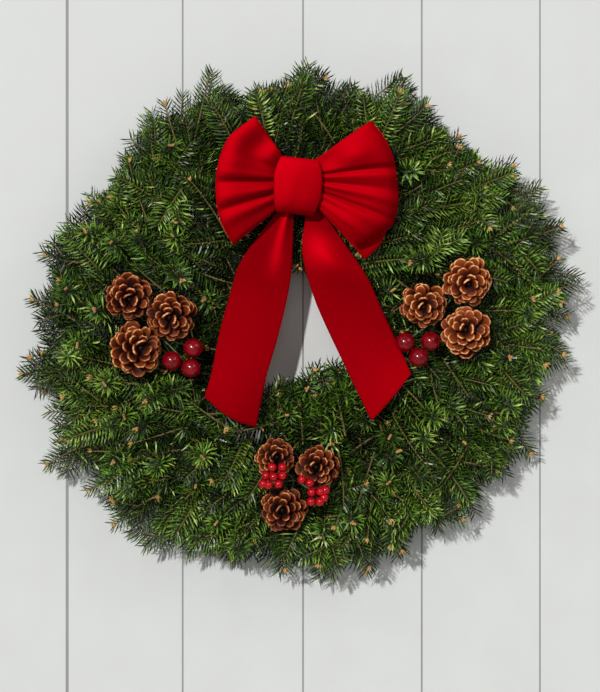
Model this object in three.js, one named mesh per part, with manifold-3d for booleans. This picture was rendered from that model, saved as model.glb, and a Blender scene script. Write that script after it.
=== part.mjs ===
import * as THREE from "three";
import { mergeVertices } from "three/addons/utils/BufferGeometryUtils.js";
import Module from "manifold-3d";

// Fresh evergreen wreath with a velvet bow, pine cones and berries, in millimetres.
// +Z is up and the front faces -Y. The origin is where a hook bears, on the inside
// of the steel ring's top, so the wreath's centre lies one ring radius below it.

const wasm = await Module();
wasm.setup();

// Driving dimensions
const RING_RADIUS = 178;
const RING_WIRE = 2;
const GAP = 0.3;
const CENTRE_Z = RING_WIRE - RING_RADIUS;
const BUNCHES = 14;
const HOLE_RADIUS = 61;
const MEAN_REACH = 293;
const REACH_SWELL = 12;
const SWELL_CLOCK = THREE.MathUtils.degToRad(75);
const SWEEP = THREE.MathUtils.degToRad(22);
const BACK_Y = 10;
const FRONT_Y = -125;
const NEEDLE_LENGTH = 20;
const FOLIAGE_DETAIL = [0.7, 0.5, 0.4, 0.3, 0.2, 0.1, 0.05, 0.02];
const SMALL_DETAIL = [0.3, 0.2, 0.1, 0.05, 0.02];
const BUNDLE_RADIUS = 6;
const BUNDLE_Y = -8.6;
const CORE_Y = -37;
const CORE_HALF_SIZE = [33, 13, 49];
const CORE_AROUND = 9;
const CORE_ROWS = 7;
const WINDING_TURNS = BUNCHES;
const WINDING_WIRE = 0.8;
const CONE_SEAT_Y = -62;
const PICK_WIRE = 1.1;
const BOW_SEAT_Y = -63;
const RIBBON = 1;
const KNOT = new THREE.Vector3(-2, -88, -24);

const CELL = (2 * Math.PI) / BUNCHES;
const RING_TOP_Z = CENTRE_Z + RING_RADIUS;

const paint = (color, roughness, metalness = 0) =>
  new THREE.MeshStandardMaterial({ color, roughness, metalness });
const FINISH = {
  ring: paint(0x24452c, 0.45, 0.3),
  winding: paint(0x2c4a30, 0.4, 0.4),
  foliage: paint(0x2f5a26, 0.6),
  cone: paint(0x8a4f2a, 0.7),
  berry: paint(0xa30d1c, 0.15),
  smallBerry: paint(0xc80f20, 0.2),
  velvet: paint(0xb8000f, 0.85),
  pick: paint(0x3a4a30, 0.5, 0.4),
};

// Seeded random numbers from 0 to 1, the same on every run
function randomStream(seed) {
  let state = seed;
  return () => {
    state = (state * 1664525 + 1013904223) % 4294967296;
    return state / 4294967296;
  };
}

// A point by clock angle from the top, distance from the wreath's centre, and depth
function polar(clock, radius, depth) {
  return new THREE.Vector3(radius * Math.sin(clock), depth, CENTRE_Z + radius * Math.cos(clock));
}

const sweptClock = (clock, radius) => clock + Math.tan(SWEEP) * Math.log(radius / RING_RADIUS);

const outerReach = (clock) => MEAN_REACH + REACH_SWELL * Math.cos(2 * (clock - SWELL_CLOCK));

function toSolid(geometry) {
  const bare = geometry.clone();
  bare.deleteAttribute("normal");
  bare.deleteAttribute("uv");
  const merged = mergeVertices(bare, 1e-4);
  const vertProperties = Float32Array.from(merged.attributes.position.array);
  const triVerts = Uint32Array.from(merged.index.array);
  return new wasm.Manifold(new wasm.Mesh({ numProp: 3, vertProperties, triVerts }));
}

function toGeometry(solid) {
  const mesh = solid.getMesh();
  const geometry = new THREE.BufferGeometry();
  geometry.setAttribute("position", new THREE.BufferAttribute(mesh.vertProperties, 3));
  geometry.setIndex(new THREE.BufferAttribute(mesh.triVerts, 1));
  geometry.computeVertexNormals();
  return geometry;
}

const joinAll = (solids) => solids.reduce((whole, solid) => whole.add(solid));

// Whether every edge of a solid, by the places of its ends, has just two faces
function hasPlainEdges(solid) {
  const { vertProperties, triVerts } = solid.getMesh();
  const place = (v) => [0, 1, 2].map((axis) => vertProperties[3 * v + axis].toFixed(4)).join(" ");
  const uses = new Map();
  for (let i = 0; i < triVerts.length; i++) {
    const next = i % 3 === 2 ? i - 2 : i + 1;
    const edge = [place(triVerts[i]), place(triVerts[next])].sort().join("|");
    uses.set(edge, (uses.get(edge) || 0) + 1);
  }
  return [...uses.values()].every((count) => count === 2);
}

// The largest body of a solid, its loose scraps dropped, thinned as far as it stays closed
function largestBody(solid, details = [0.02, 0.01, 0.005]) {
  const larger = (one, other) => (other.volume() > one.volume() ? other : one);
  const largest = (bodies) => bodies.reduce(larger);
  const bodies = details.map((detail) => largest(solid.simplify(detail).decompose()));
  return bodies.find(hasPlainEdges) || bodies[bodies.length - 1];
}

// A closed body from a list of points and triangles that face out
function polyhedron(points, triangles) {
  const geometry = new THREE.BufferGeometry();
  const places = points.flatMap((point) => point.toArray());
  geometry.setAttribute("position", new THREE.Float32BufferAttribute(places, 3));
  geometry.setIndex(triangles.flat());
  return geometry;
}

function regularPolygon(sides, radius) {
  const corner = (i) => {
    const turn = (2 * Math.PI * i) / sides;
    return new THREE.Vector2(radius * Math.cos(turn), radius * Math.sin(turn));
  };
  return new THREE.Shape(Array.from({ length: sides }, (_, i) => corner(i)));
}

function wireAlong(points, radius, sides, steps) {
  const extrudePath = new THREE.CatmullRomCurve3(points);
  return new THREE.ExtrudeGeometry(regularPolygon(sides, radius), { steps, extrudePath });
}

// A prism whose outline is given by x and z, standing from frontY to backY
function prism(outline, frontY, backY) {
  const geometry = new THREE.ExtrudeGeometry(new THREE.Shape(outline), {
    depth: backY - frontY,
    bevelEnabled: false,
  });
  return geometry.rotateX(Math.PI / 2).translate(0, backY, 0);
}

// A sheet of the given thickness over a grid of points, rows by columns
function sheet(grid, thickness) {
  const rows = grid.length;
  const columns = grid[0].length;
  const within = (value, count) => Math.min(Math.max(value, 0), count - 1);
  const at = (i, j) => grid[within(i, rows)][within(j, columns)];
  const offset = (i, j) => {
    const along = at(i + 1, j).clone().sub(at(i - 1, j));
    const across = at(i, j + 1).clone().sub(at(i, j - 1));
    return along.cross(across).setLength(thickness / 2);
  };
  const points = [];
  for (const side of [1, -1]) {
    for (let i = 0; i < rows; i++) {
      for (let j = 0; j < columns; j++) {
        points.push(at(i, j).clone().addScaledVector(offset(i, j), side));
      }
    }
  }
  const top = (i, j) => i * columns + j;
  const under = (i, j) => rows * columns + top(i, j);
  const triangles = [];
  const square = (a, b, c, d) => triangles.push([a, b, c], [a, c, d]);
  for (let i = 0; i < rows - 1; i++) {
    for (let j = 0; j < columns - 1; j++) {
      square(top(i, j), top(i + 1, j), top(i + 1, j + 1), top(i, j + 1));
      square(under(i + 1, j + 1), under(i + 1, j), under(i, j), under(i, j + 1));
    }
  }
  const rim = rimOf(rows, columns);
  rim.forEach(([i, j], k) => {
    const [nextI, nextJ] = rim[(k + 1) % rim.length];
    square(top(i, j), top(nextI, nextJ), under(nextI, nextJ), under(i, j));
  });
  return polyhedron(points, triangles);
}

// The grid places round a sheet's edge, in order
function rimOf(rows, columns) {
  const count = (length) => Array.from({ length: length - 1 }, (_, i) => i);
  return [
    ...count(columns).map((j) => [0, j]),
    ...count(rows).map((i) => [i, columns - 1]),
    ...count(columns).map((j) => [rows - 1, columns - 1 - j]),
    ...count(rows).map((i) => [rows - 1 - i, 0]),
  ];
}

// Steel ring

function ringGeometry() {
  const ring = new THREE.TorusGeometry(RING_RADIUS, RING_WIRE, 6, 38);
  return ring.rotateX(Math.PI / 2).translate(0, 0, CENTRE_Z);
}

// Winding wire: a helix round the ring and the stems, its two ends apart at the top
const WINDING_HALF_WIDTH = 9.6;
const WINDING_BACK_Y = 4.4;
const WINDING_FRONT_Y = -19;
const WINDING_MIDDLE_Y = (WINDING_BACK_Y + WINDING_FRONT_Y) / 2;
const WINDING_HALF_DEPTH = (WINDING_BACK_Y - WINDING_FRONT_Y) / 2;
const WINDING_STEPS_PER_TURN = 6;

function windingGeometry() {
  const steps = WINDING_TURNS * WINDING_STEPS_PER_TURN;
  const points = [];
  for (let i = 1; i < steps; i++) {
    const turn = (2 * Math.PI * i) / WINDING_STEPS_PER_TURN + Math.PI;
    const radius = RING_RADIUS + WINDING_HALF_WIDTH * Math.sin(turn);
    const depth = WINDING_MIDDLE_Y + WINDING_HALF_DEPTH * Math.cos(turn);
    points.push(polar((2 * Math.PI * i) / steps, radius, depth));
  }
  return wireAlong(points, WINDING_WIRE, 3, points.length - 1);
}

// The room round the ring that needles keep clear of: the ring, the stems and the winding
const SLEEVE_HALF_WIDTH = WINDING_HALF_WIDTH + 1.9;
const SLEEVE_HALF_DEPTH = WINDING_HALF_DEPTH + 2.4;

function windingSleeve() {
  const sleeve = new THREE.TorusGeometry(RING_RADIUS, 1, 8, 56).rotateX(Math.PI / 2);
  const position = sleeve.attributes.position;
  const point = new THREE.Vector3();
  for (let i = 0; i < position.count; i++) {
    point.fromBufferAttribute(position, i);
    const radius = Math.hypot(point.x, point.z);
    const swollen = (RING_RADIUS + (radius - RING_RADIUS) * SLEEVE_HALF_WIDTH) / radius;
    const y = WINDING_MIDDLE_Y + point.y * SLEEVE_HALF_DEPTH;
    position.setXYZ(i, point.x * swollen, y, CENTRE_Z + point.z * swollen);
  }
  return sleeve;
}

// Cones, large berries and small berries, placed by x and z on the front of the foliage

const CONES = [
  { name: "cone_left_upper", at: [-189, -143], width: 51, tilt: [0.1, -0.12] },
  { name: "cone_left_inner", at: [-138, -165], width: 53, tilt: [-0.05, -0.14] },
  { name: "cone_left_lower", at: [-181, -204], width: 57, tilt: [0.32, 0.08] },
  { name: "cone_right_inner", at: [134, -155], width: 50, tilt: [-0.04, -0.08] },
  { name: "cone_right_upper", at: [184, -127], width: 54, tilt: [0.02, -0.16] },
  { name: "cone_right_lower", at: [182, -185], width: 55, tilt: [-0.05, 0.04] },
  { name: "cone_bottom_left", at: [-27, -321], width: 44, tilt: [0.08, 0.1] },
  { name: "cone_bottom_right", at: [19, -330], width: 48, tilt: [0, 0] },
  { name: "cone_bottom_lower", at: [-19, -378], width: 50, tilt: [0.08, 0.04] },
];
const CONE_SINK = 4.5;
const CONE_HEIGHT_SHARE = 0.86;
const CONE_SCALES_PER_ROW = 6;
const CONE_ROWS = 6;
const CONE_WIDEST = 0.3;
const CONE_CORE_WIDTH = 0.42;
const CONE_CORE_HEIGHT = 0.86;
const LIP_RISE = 0.13;
const LIP_HALF_TURN = 0.31;

// Half width of the open scales at each share of the cone's height, as a share of the width
function coneProfile(share) {
  const fromWidest = (share - CONE_WIDEST) / 0.78;
  return 0.5 * Math.sqrt(Math.max(0, 1 - fromWidest ** 2));
}

// A lattice of diamonds round a slim core, each diamond pushed out into one scale's lip
function coneGeometry(width) {
  const height = width * CONE_HEIGHT_SHARE;
  const node = (row, column) => {
    const share = row / CONE_ROWS;
    const turn = ((column + (row % 2) / 2) * 2 * Math.PI) / CONE_SCALES_PER_ROW;
    const core = width * CONE_CORE_WIDTH * coneProfile(share * 0.95);
    const rise = share * height * CONE_CORE_HEIGHT;
    return new THREE.Vector3(core * Math.cos(turn), core * Math.sin(turn), rise);
  };
  const points = [];
  for (let row = 0; row <= CONE_ROWS; row++) {
    for (let column = 0; column < CONE_SCALES_PER_ROW; column++) {
      points.push(node(row, column));
    }
  }
  const index = (row, column) =>
    row * CONE_SCALES_PER_ROW + ((column + CONE_SCALES_PER_ROW) % CONE_SCALES_PER_ROW);
  const triangles = [];
  for (let row = 0; row + 2 <= CONE_ROWS; row++) {
    for (let column = 0; column < CONE_SCALES_PER_ROW; column++) {
      const shift = row % 2;
      const low = index(row, column);
      const high = index(row + 2, column);
      const left = index(row + 1, column - 1 + shift);
      const right = index(row + 1, column + shift);
      const turn = ((column + shift / 2) * 2 * Math.PI) / CONE_SCALES_PER_ROW;
      const share = (row + 1) / CONE_ROWS;
      const radius = width * coneProfile(share);
      const lipHeight = (share * CONE_CORE_HEIGHT + LIP_RISE) * height;
      const lip = [turn - LIP_HALF_TURN, turn + LIP_HALF_TURN].map((angle) => {
        const corner = new THREE.Vector3(radius * Math.cos(angle), radius * Math.sin(angle), lipHeight);
        return points.push(corner) - 1;
      });
      triangles.push([low, right, lip[1]], [low, lip[1], lip[0]], [low, lip[0], left]);
      triangles.push([left, lip[0], high], [lip[0], lip[1], high], [lip[1], right, high]);
    }
  }
  closeFoot(points, triangles, index);
  closeTip(points, triangles, index, height);
  return polyhedron(points, triangles);
}

function closeFoot(points, triangles, index) {
  const hub = points.push(new THREE.Vector3(0, 0, 0)) - 1;
  for (let column = 0; column < CONE_SCALES_PER_ROW; column++) {
    const near = index(0, column);
    const next = index(0, column + 1);
    triangles.push([near, next, index(1, column)], [hub, next, near]);
  }
}

function closeTip(points, triangles, index, height) {
  const hub = points.push(new THREE.Vector3(0, 0, height)) - 1;
  for (let column = 0; column < CONE_SCALES_PER_ROW; column++) {
    const near = index(CONE_ROWS, column);
    const next = index(CONE_ROWS, column + 1);
    const under = index(CONE_ROWS - 1, column + (CONE_ROWS % 2));
    triangles.push([under, next, near], [near, next, hub]);
  }
}

// The middle of a cone's foot, set back along its lean from where its body shows
function coneBase(cone) {
  const halfHeight = (cone.width * CONE_HEIGHT_SHARE) / 2;
  return new THREE.Vector3(
    cone.at[0] - cone.tilt[0] * halfHeight,
    CONE_SEAT_Y,
    cone.at[1] - cone.tilt[1] * halfHeight,
  );
}

function placeCone(cone) {
  const [tiltX, tiltZ] = cone.tilt;
  const lean = new THREE.Quaternion().setFromUnitVectors(
    new THREE.Vector3(0, 0, 1),
    new THREE.Vector3(tiltX, -1, tiltZ).normalize(),
  );
  return coneGeometry(cone.width).applyQuaternion(lean).translate(...coneBase(cone).toArray());
}

const BERRY_RADIUS = 10.5;
const BERRIES = [
  { name: "berry_left_upper", at: [-118, -201] },
  { name: "berry_left_outer", at: [-141, -217] },
  { name: "berry_left_lower", at: [-120, -224] },
  { name: "berry_right_inner", at: [115, -195] },
  { name: "berry_right_outer", at: [141, -194] },
  { name: "berry_right_lower", at: [129, -214] },
];
const BERRY_Y = -84;

function placeBerry(berry) {
  const [x, z] = berry.at;
  return new THREE.IcosahedronGeometry(BERRY_RADIUS, 1).translate(x, BERRY_Y, z);
}

const SMALL_BERRY_RADIUS = 4.9;
const BERRY_BUNCHES = [
  {
    name: "small_berries_left",
    foot: [-35, -350],
    at: [
      [-31, -333], [-20, -333], [-37.5, -342], [-29.5, -343],
      [-20, -342], [-41, -351], [-35, -352], [-24, -351],
    ],
  },
  {
    name: "small_berries_right",
    foot: [14, -358],
    at: [
      [1, -346], [9.5, -350], [11.5, -360], [21, -359],
      [26.5, -357.5], [11, -370], [20.5, -370], [25, -365.5],
    ],
  },
];
const SMALL_BERRY_Y = -104;
const SMALL_BERRY_STAGGER = 1.6;
const SMALL_BERRY_FOOT_Y = -84;
const SMALL_BERRY_FOOT_RADIUS = 2.4;
const SMALL_BERRY_STALK = 0.9;

function placeBerryBunch(bunch) {
  const foot = new THREE.Vector3(bunch.foot[0], SMALL_BERRY_FOOT_Y, bunch.foot[1]);
  const knob = new THREE.OctahedronGeometry(SMALL_BERRY_FOOT_RADIUS);
  const parts = [toSolid(knob.translate(...foot.toArray()))];
  bunch.at.forEach(([x, z], i) => {
    const centre = new THREE.Vector3(x, SMALL_BERRY_Y + SMALL_BERRY_STAGGER * (i % 3), z);
    const berry = new THREE.IcosahedronGeometry(SMALL_BERRY_RADIUS);
    parts.push(toSolid(berry.translate(...centre.toArray())));
    parts.push(toSolid(wireAlong([foot, centre], SMALL_BERRY_STALK, 3, 1)));
  });
  return toGeometry(largestBody(joinAll(parts), SMALL_DETAIL));
}

// Wire picks: a stem pushed in beside the ring, with a branch to each cone and berry

const PICK_HUB_Y = -56.5;
const PICK_FOOT_Y = -17;
const PICKS = [
  { name: "pick_left", hub: [-152, -190], foot: [-152, -186], members: ["cone_left", "berry_left"] },
  { name: "pick_right", hub: [150, -170], foot: [150, -172], members: ["cone_right", "berry_right"] },
  { name: "pick_bottom", hub: [-6, -346], foot: [-6, -346], members: ["cone_bottom", "small_berries"] },
];

// The points where a pick's branches end, just short of what they carry
function branchEnds(pick) {
  const belongs = (piece) => pick.members.some((stem) => piece.name.startsWith(stem));
  const ends = [];
  for (const cone of CONES.filter(belongs)) {
    ends.push(coneBase(cone).add(new THREE.Vector3(0, 2 * GAP, 0)));
  }
  if (pick.members.includes("small_berries")) {
    for (const bunch of BERRY_BUNCHES) {
      const [x, z] = bunch.foot;
      ends.push(new THREE.Vector3(x, SMALL_BERRY_FOOT_Y + SMALL_BERRY_FOOT_RADIUS + GAP, z));
    }
  } else {
    for (const berry of BERRIES.filter(belongs)) {
      ends.push(new THREE.Vector3(berry.at[0], BERRY_Y + BERRY_RADIUS + GAP, berry.at[1]));
    }
  }
  return ends;
}

function pickSolid(pick, radius) {
  const hub = new THREE.Vector3(pick.hub[0], PICK_HUB_Y, pick.hub[1]);
  const foot = new THREE.Vector3(pick.foot[0], PICK_FOOT_Y, pick.foot[1]);
  const parts = [toSolid(wireAlong([foot, hub], radius, 3, 1))];
  for (const end of branchEnds(pick)) {
    const elbow = new THREE.Vector3(end.x, PICK_HUB_Y, end.z).lerp(hub, 0.03);
    parts.push(toSolid(wireAlong([hub, elbow], radius, 3, 1)));
    parts.push(toSolid(wireAlong([elbow.clone().setY(PICK_HUB_Y + radius), end], radius, 3, 1)));
  }
  return largestBody(joinAll(parts), SMALL_DETAIL);
}

// Bow: two fanned loops, two tails, a knot band and the wire that ties them to the ring

const LOOP_HALF_DEPTH = { front: 21, back: 10 };
const GATHER_Y = -90.7;
const GATHER_HALF_SIZE = [17, 14.3, 27];
const LOOP_STEPS = 8;
const PLEAT_DEPTH = 2.7;
const LEFT_LOOP = {
  knotTop: [-14, 14],
  knotFoot: [-8, -12],
  edge: [[-48, 78], [-74, 56], [-83, 35], [-88, 14], [-90, -6], [-88, -27], [-81, -46], [-70, -66]],
};
const RIGHT_LOOP = {
  knotTop: [8, 14],
  knotFoot: [9, -4],
  edge: [[79, 73], [96, 50], [105, 28], [110, 2], [110, -22], [102, -45], [90, -65], [74, -82]],
};
const LEFT_TAIL = {
  outer: [[-12, -4], [-24, -29], [-46, -57], [-66, -85], [-76, -116], [-88, -160], [-96, -206], [-102, -230]],
  inner: [[-2, -4], [-5, -31], [-6, -64], [-9, -99], [-16, -132], [-27, -172], [-38, -212], [-46, -263]],
};
const RIGHT_TAIL = {
  outer: [[12, -4], [24, -26], [54, -68], [76, -101], [90, -132], [104, -162], [114, -184], [123, -205]],
  inner: [[2, -4], [8, -31], [4.5, -60], [7, -88], [18, -124], [34, -161], [58, -211], [80, -257]],
};
const TAIL_Y = [-71.6, -71, -70, -68, -66, -66, -69, -73];
const TAIL_COLUMNS = 4;

const fromKnot = (x, y, z) => new THREE.Vector3(KNOT.x + x, y, KNOT.z + z);

// Out from the knot in front and back behind, bulging most near the outer fold
function loopGeometry(loop) {
  const columns = loop.edge.length;
  const grid = [];
  for (let i = 0; i <= LOOP_STEPS; i++) {
    const round = i / LOOP_STEPS;
    const out = 1 - Math.abs(2 * round - 1) ** 2.2;
    const swing = Math.sin(2 * Math.PI * round);
    const bulge = -swing * (swing > 0 ? LOOP_HALF_DEPTH.front : LOOP_HALF_DEPTH.back);
    grid.push(loop.edge.map(([edgeX, edgeZ], j) => {
      const share = j / (columns - 1);
      const rootX = THREE.MathUtils.lerp(loop.knotTop[0], loop.knotFoot[0], share);
      const rootZ = THREE.MathUtils.lerp(loop.knotTop[1], loop.knotFoot[1], share);
      const crown = Math.sin(Math.PI * share) ** 0.5;
      const fold = Math.abs(swing) > 0.1 ? Math.sign(swing) * (j % 2 ? 1 : -1) : 0;
      const pleat = PLEAT_DEPTH * fold * (1 - 0.6 * out) * Math.min(1, out * 3);
      return fromKnot(
        THREE.MathUtils.lerp(rootX, edgeX, out),
        KNOT.y + bulge * (0.55 + 0.45 * crown) + pleat,
        THREE.MathUtils.lerp(rootZ, edgeZ, out),
      );
    }));
  }
  return sheet(grid, RIBBON);
}

function blockGeometry(halfX, frontY, backY, lowZ, highZ) {
  const box = new THREE.BoxGeometry(2 * halfX, backY - frontY, highZ - lowZ);
  return box.translate(KNOT.x, (frontY + backY) / 2, KNOT.z + (lowZ + highZ) / 2);
}

function loopsSolid() {
  const gather = new THREE.SphereGeometry(1, 8, 6).scale(...GATHER_HALF_SIZE);
  const sheets = [LEFT_LOOP, RIGHT_LOOP].map((loop) => toSolid(loopGeometry(loop)));
  const middle = toSolid(gather.translate(KNOT.x, GATHER_Y, KNOT.z));
  return largestBody(joinAll([middle, ...sheets]), SMALL_DETAIL);
}

function tailGeometry(tail) {
  const grid = tail.outer.map(([outerX, outerZ], row) => {
    const gathered = Math.max(0, 1 - row / 4);
    return Array.from({ length: TAIL_COLUMNS }, (_, column) => {
      const share = column / (TAIL_COLUMNS - 1);
      const [innerX, innerZ] = tail.inner[row];
      const fold = (row ? 3.2 : 0) * gathered * (column % 2 ? 1 : 0);
      const curl = 3 * Math.sin(Math.PI * share) * (1 - gathered);
      return fromKnot(
        THREE.MathUtils.lerp(outerX, innerX, share),
        TAIL_Y[row] + fold - curl,
        THREE.MathUtils.lerp(outerZ, innerZ, share),
      );
    });
  });
  return sheet(grid, RIBBON);
}

const YOKE_FRONT_Y = -72;
const YOKE_BACK_Y = -69.5;

function tailsSolid() {
  const yoke = toSolid(blockGeometry(13, YOKE_FRONT_Y, YOKE_BACK_Y, -14, 6));
  const sheets = [LEFT_TAIL, RIGHT_TAIL].map((tail) => toSolid(tailGeometry(tail)));
  return largestBody(joinAll([yoke, ...sheets]));
}

// The knot is a band wrapped round the gathered loops, its ends meeting behind
const KNOT_HALF_HEIGHT = 32;
const KNOT_FRONT = 18;
const KNOT_BACK = 14.9;
const KNOT_HALF_WIDTH = 23;
const KNOT_STEPS = 14;
const KNOT_COLUMNS = 3;
const KNOT_SEAM = 0.002;
const KNOT_THICKNESS = 1.2;

function knotGeometry() {
  const grid = [];
  for (let i = 0; i <= KNOT_STEPS; i++) {
    const turn = 2 * Math.PI * (KNOT_SEAM + (1 - 2 * KNOT_SEAM) * (i / KNOT_STEPS));
    const depth = Math.cos(turn) > 0 ? KNOT_BACK : KNOT_FRONT;
    const y = KNOT.y + depth * Math.sign(Math.cos(turn)) * Math.abs(Math.cos(turn)) ** 0.7;
    const z = KNOT_HALF_HEIGHT * Math.sign(Math.sin(turn)) * Math.abs(Math.sin(turn)) ** 0.8;
    const halfWidth = KNOT_HALF_WIDTH - 4 * (Math.abs(z) / KNOT_HALF_HEIGHT) ** 2;
    grid.push(Array.from({ length: KNOT_COLUMNS }, (_, j) => {
      const across = (2 * j) / (KNOT_COLUMNS - 1) - 1;
      return fromKnot(across * halfWidth, y, z * (1 - 0.06 * across ** 2));
    }));
  }
  return sheet(grid, KNOT_THICKNESS);
}

// Through the knot behind the gathered loops, then back over the ring with both ends
const TIE_Y = -74.9;
const TIE_WIRE = 0.8;
const TIE_STEPS = 30;

function tieSolid(radius) {
  const overRing = RING_WIRE + TIE_WIRE + 0.8;
  const side = (sign) => [
    new THREE.Vector3(sign * 2.5, overRing + 0.5, RING_TOP_Z - 9),
    new THREE.Vector3(sign * 3, overRing + 0.6, RING_TOP_Z - 1),
    new THREE.Vector3(sign * 3.2, 0, RING_TOP_Z + overRing + 0.4),
    new THREE.Vector3(sign * 5, -12, RING_TOP_Z + 2),
    new THREE.Vector3(sign * 12, -40, RING_TOP_Z - 10),
    new THREE.Vector3(sign * 28 + KNOT.x, -62, KNOT.z + 4),
    new THREE.Vector3(sign * 31 + KNOT.x, -72, KNOT.z - 1),
    new THREE.Vector3(sign * 24 + KNOT.x, TIE_Y, KNOT.z - 3),
  ];
  const points = [...side(-1), ...side(1).reverse()];
  return toSolid(wireAlong(points, radius, 4, TIE_STEPS));
}

// Foliage: shoots of needles by across, radius and depth inside each bunch's own sector

const STEM = { root: 5.2, tip: 2.3 };
const FIRST_WHORL = 0.36;
const WHORL_SPAN = 0.6;
const WHORL_HALF_LENGTH = 1.4;
const NEEDLE_FAN = THREE.MathUtils.degToRad(24);
const SHOOTS = [
  { root: [-0.25, 204, -34], tip: [-0.58, 301, -22], whorls: 3 },
  { root: [0.3, 202, -34], tip: [0.5, 297, -36], whorls: 3 },
  { root: [0, 198, -40], tip: [-0.05, 268, -66], whorls: 2 },
  { root: [0.1, 168, -44], tip: [0.15, 142, -92], whorls: 1 },
  { root: [-0.1, 158, -34], tip: [-0.1, 78, -48], whorls: 2 },
];

// A three-sided stem with whorls of six needles, each grown from one face of the stem
function shootGeometry(root, tip, whorls, phase) {
  const chord = tip.clone().sub(root);
  const length = chord.length();
  const middle = root.clone().lerp(tip, 0.5).add(new THREE.Vector3(0, -0.08 * length, 0));
  const curve = new THREE.QuadraticBezierCurve3(root, middle, tip);
  const pointsForward = Math.abs(chord.y) > 0.7 * length;
  const reference = pointsForward ? new THREE.Vector3(1, 0, 0) : new THREE.Vector3(0, 1, 0);
  const points = [];
  const triangles = [];
  const frameAt = (share) => {
    const tangent = curve.getTangent(share);
    const side = new THREE.Vector3().crossVectors(reference, tangent).normalize();
    const up = new THREE.Vector3().crossVectors(tangent, side);
    return { centre: curve.getPoint(share), tangent, side, up };
  };
  const outward = (frame, turn) =>
    frame.side.clone().multiplyScalar(Math.cos(turn)).addScaledVector(frame.up, Math.sin(turn));
  const ring = (share, turn) => {
    const frame = frameAt(share);
    const radius = THREE.MathUtils.lerp(STEM.root, STEM.tip, share);
    for (let i = 0; i < 3; i++) {
      const direction = outward(frame, turn + (2 * Math.PI * i) / 3);
      points.push(frame.centre.clone().addScaledVector(direction, radius));
    }
    return [points.length - 3, points.length - 2, points.length - 1];
  };
  const needle = (face, share, turn) => {
    const frame = frameAt(share);
    const lean = THREE.MathUtils.degToRad(32 + 26 * share);
    const direction = outward(frame, turn).multiplyScalar(Math.cos(lean));
    direction.addScaledVector(frame.tangent, Math.sin(lean));
    const foot = face.reduce((sum, k) => sum.add(points[k]), new THREE.Vector3()).divideScalar(3);
    const point = points.push(foot.addScaledVector(direction, NEEDLE_LENGTH * (1.05 - 0.2 * share))) - 1;
    triangles.push([face[0], face[1], point], [face[1], face[2], point], [face[2], face[0], point]);
  };
  let last = ring(0, phase);
  triangles.push([last[0], last[2], last[1]]);
  for (let w = 0; w < whorls; w++) {
    const turn = phase + (Math.PI / 3) * (w + 1);
    const share = FIRST_WHORL + (WHORL_SPAN * (w + 0.5)) / whorls;
    const low = ring(share - WHORL_HALF_LENGTH / length, turn);
    const high = ring(share + WHORL_HALF_LENGTH / length, turn);
    for (let i = 0; i < 3; i++) {
      const next = (i + 1) % 3;
      const centre = turn + (2 * Math.PI * (i + 0.5)) / 3;
      triangles.push([last[i], last[next], low[i]], [last[next], low[next], low[i]]);
      needle([low[i], low[next], high[next]], share, centre + NEEDLE_FAN);
      needle([low[i], high[next], high[i]], share, centre - NEEDLE_FAN);
    }
    last = high;
  }
  const end = points.push(tip.clone()) - 1;
  for (let i = 0; i < 3; i++) triangles.push([last[i], last[(i + 1) % 3], end]);
  return polyhedron(points, triangles);
}

// A place in a bunch's sector: across from -1 to 1, radius from the centre, and depth
function inSector(k, across, radius, depth) {
  const clock = sweptClock((k + 0.5 + across / 2) * CELL, radius);
  const reach = outerReach(clock);
  const stretch = (reach - RING_RADIUS) / (MEAN_REACH - RING_RADIUS);
  const stretched = radius > RING_RADIUS ? RING_RADIUS + (radius - RING_RADIUS) * stretch : radius;
  return polar(clock, stretched, depth);
}

function sectorSolid(k) {
  const radii = [HOLE_RADIUS, 80, 110, 145, RING_RADIUS, 215, 260, 310, 350];
  const border = (side) => radii.map((radius) => {
    const inset = (side * 0.7 * GAP) / radius;
    const place = polar(sweptClock((k + 0.5 + side / 2) * CELL, radius) - inset, radius, 0);
    return new THREE.Vector2(place.x, place.z);
  });
  return toSolid(prism([...border(1), ...border(-1).reverse()], FRONT_Y, BACK_Y));
}

// Keeps shoots low where the bow, cones and berries press on the foliage
function pressedDepth(place) {
  const distance = ([x, z]) => Math.hypot(place.x - x, place.z - z);
  const near = (list, margin) => list.some(({ at }) => distance(at) < margin);
  if (near(CONES, 38) || near(BERRIES, 22)) {
    return Math.max(place.y, CONE_SEAT_Y + 14);
  }
  const x = place.x - KNOT.x;
  const z = place.z - KNOT.z;
  const underBow = Math.abs(x) < 112 && z < 82 && z > -90;
  const underTails = Math.abs(x - 8) < 120 && z <= -90 && z > -262;
  return underBow || underTails ? Math.max(place.y, BOW_SEAT_Y + 14) : place.y;
}

function shootsOf(k) {
  const random = randomStream(1000 + 37 * k);
  return SHOOTS.map(({ root, tip, whorls }) => {
    const [across, radius, depth] = tip;
    const start = inSector(k, ...root);
    const end = inSector(k, across + 0.16 * (random() - 0.5), radius + 14 * (random() - 0.5), depth);
    end.y += 12 * (random() - 0.5);
    end.y = pressedDepth(end);
    return toSolid(shootGeometry(start, end, whorls, Math.PI * random()));
  });
}

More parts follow.
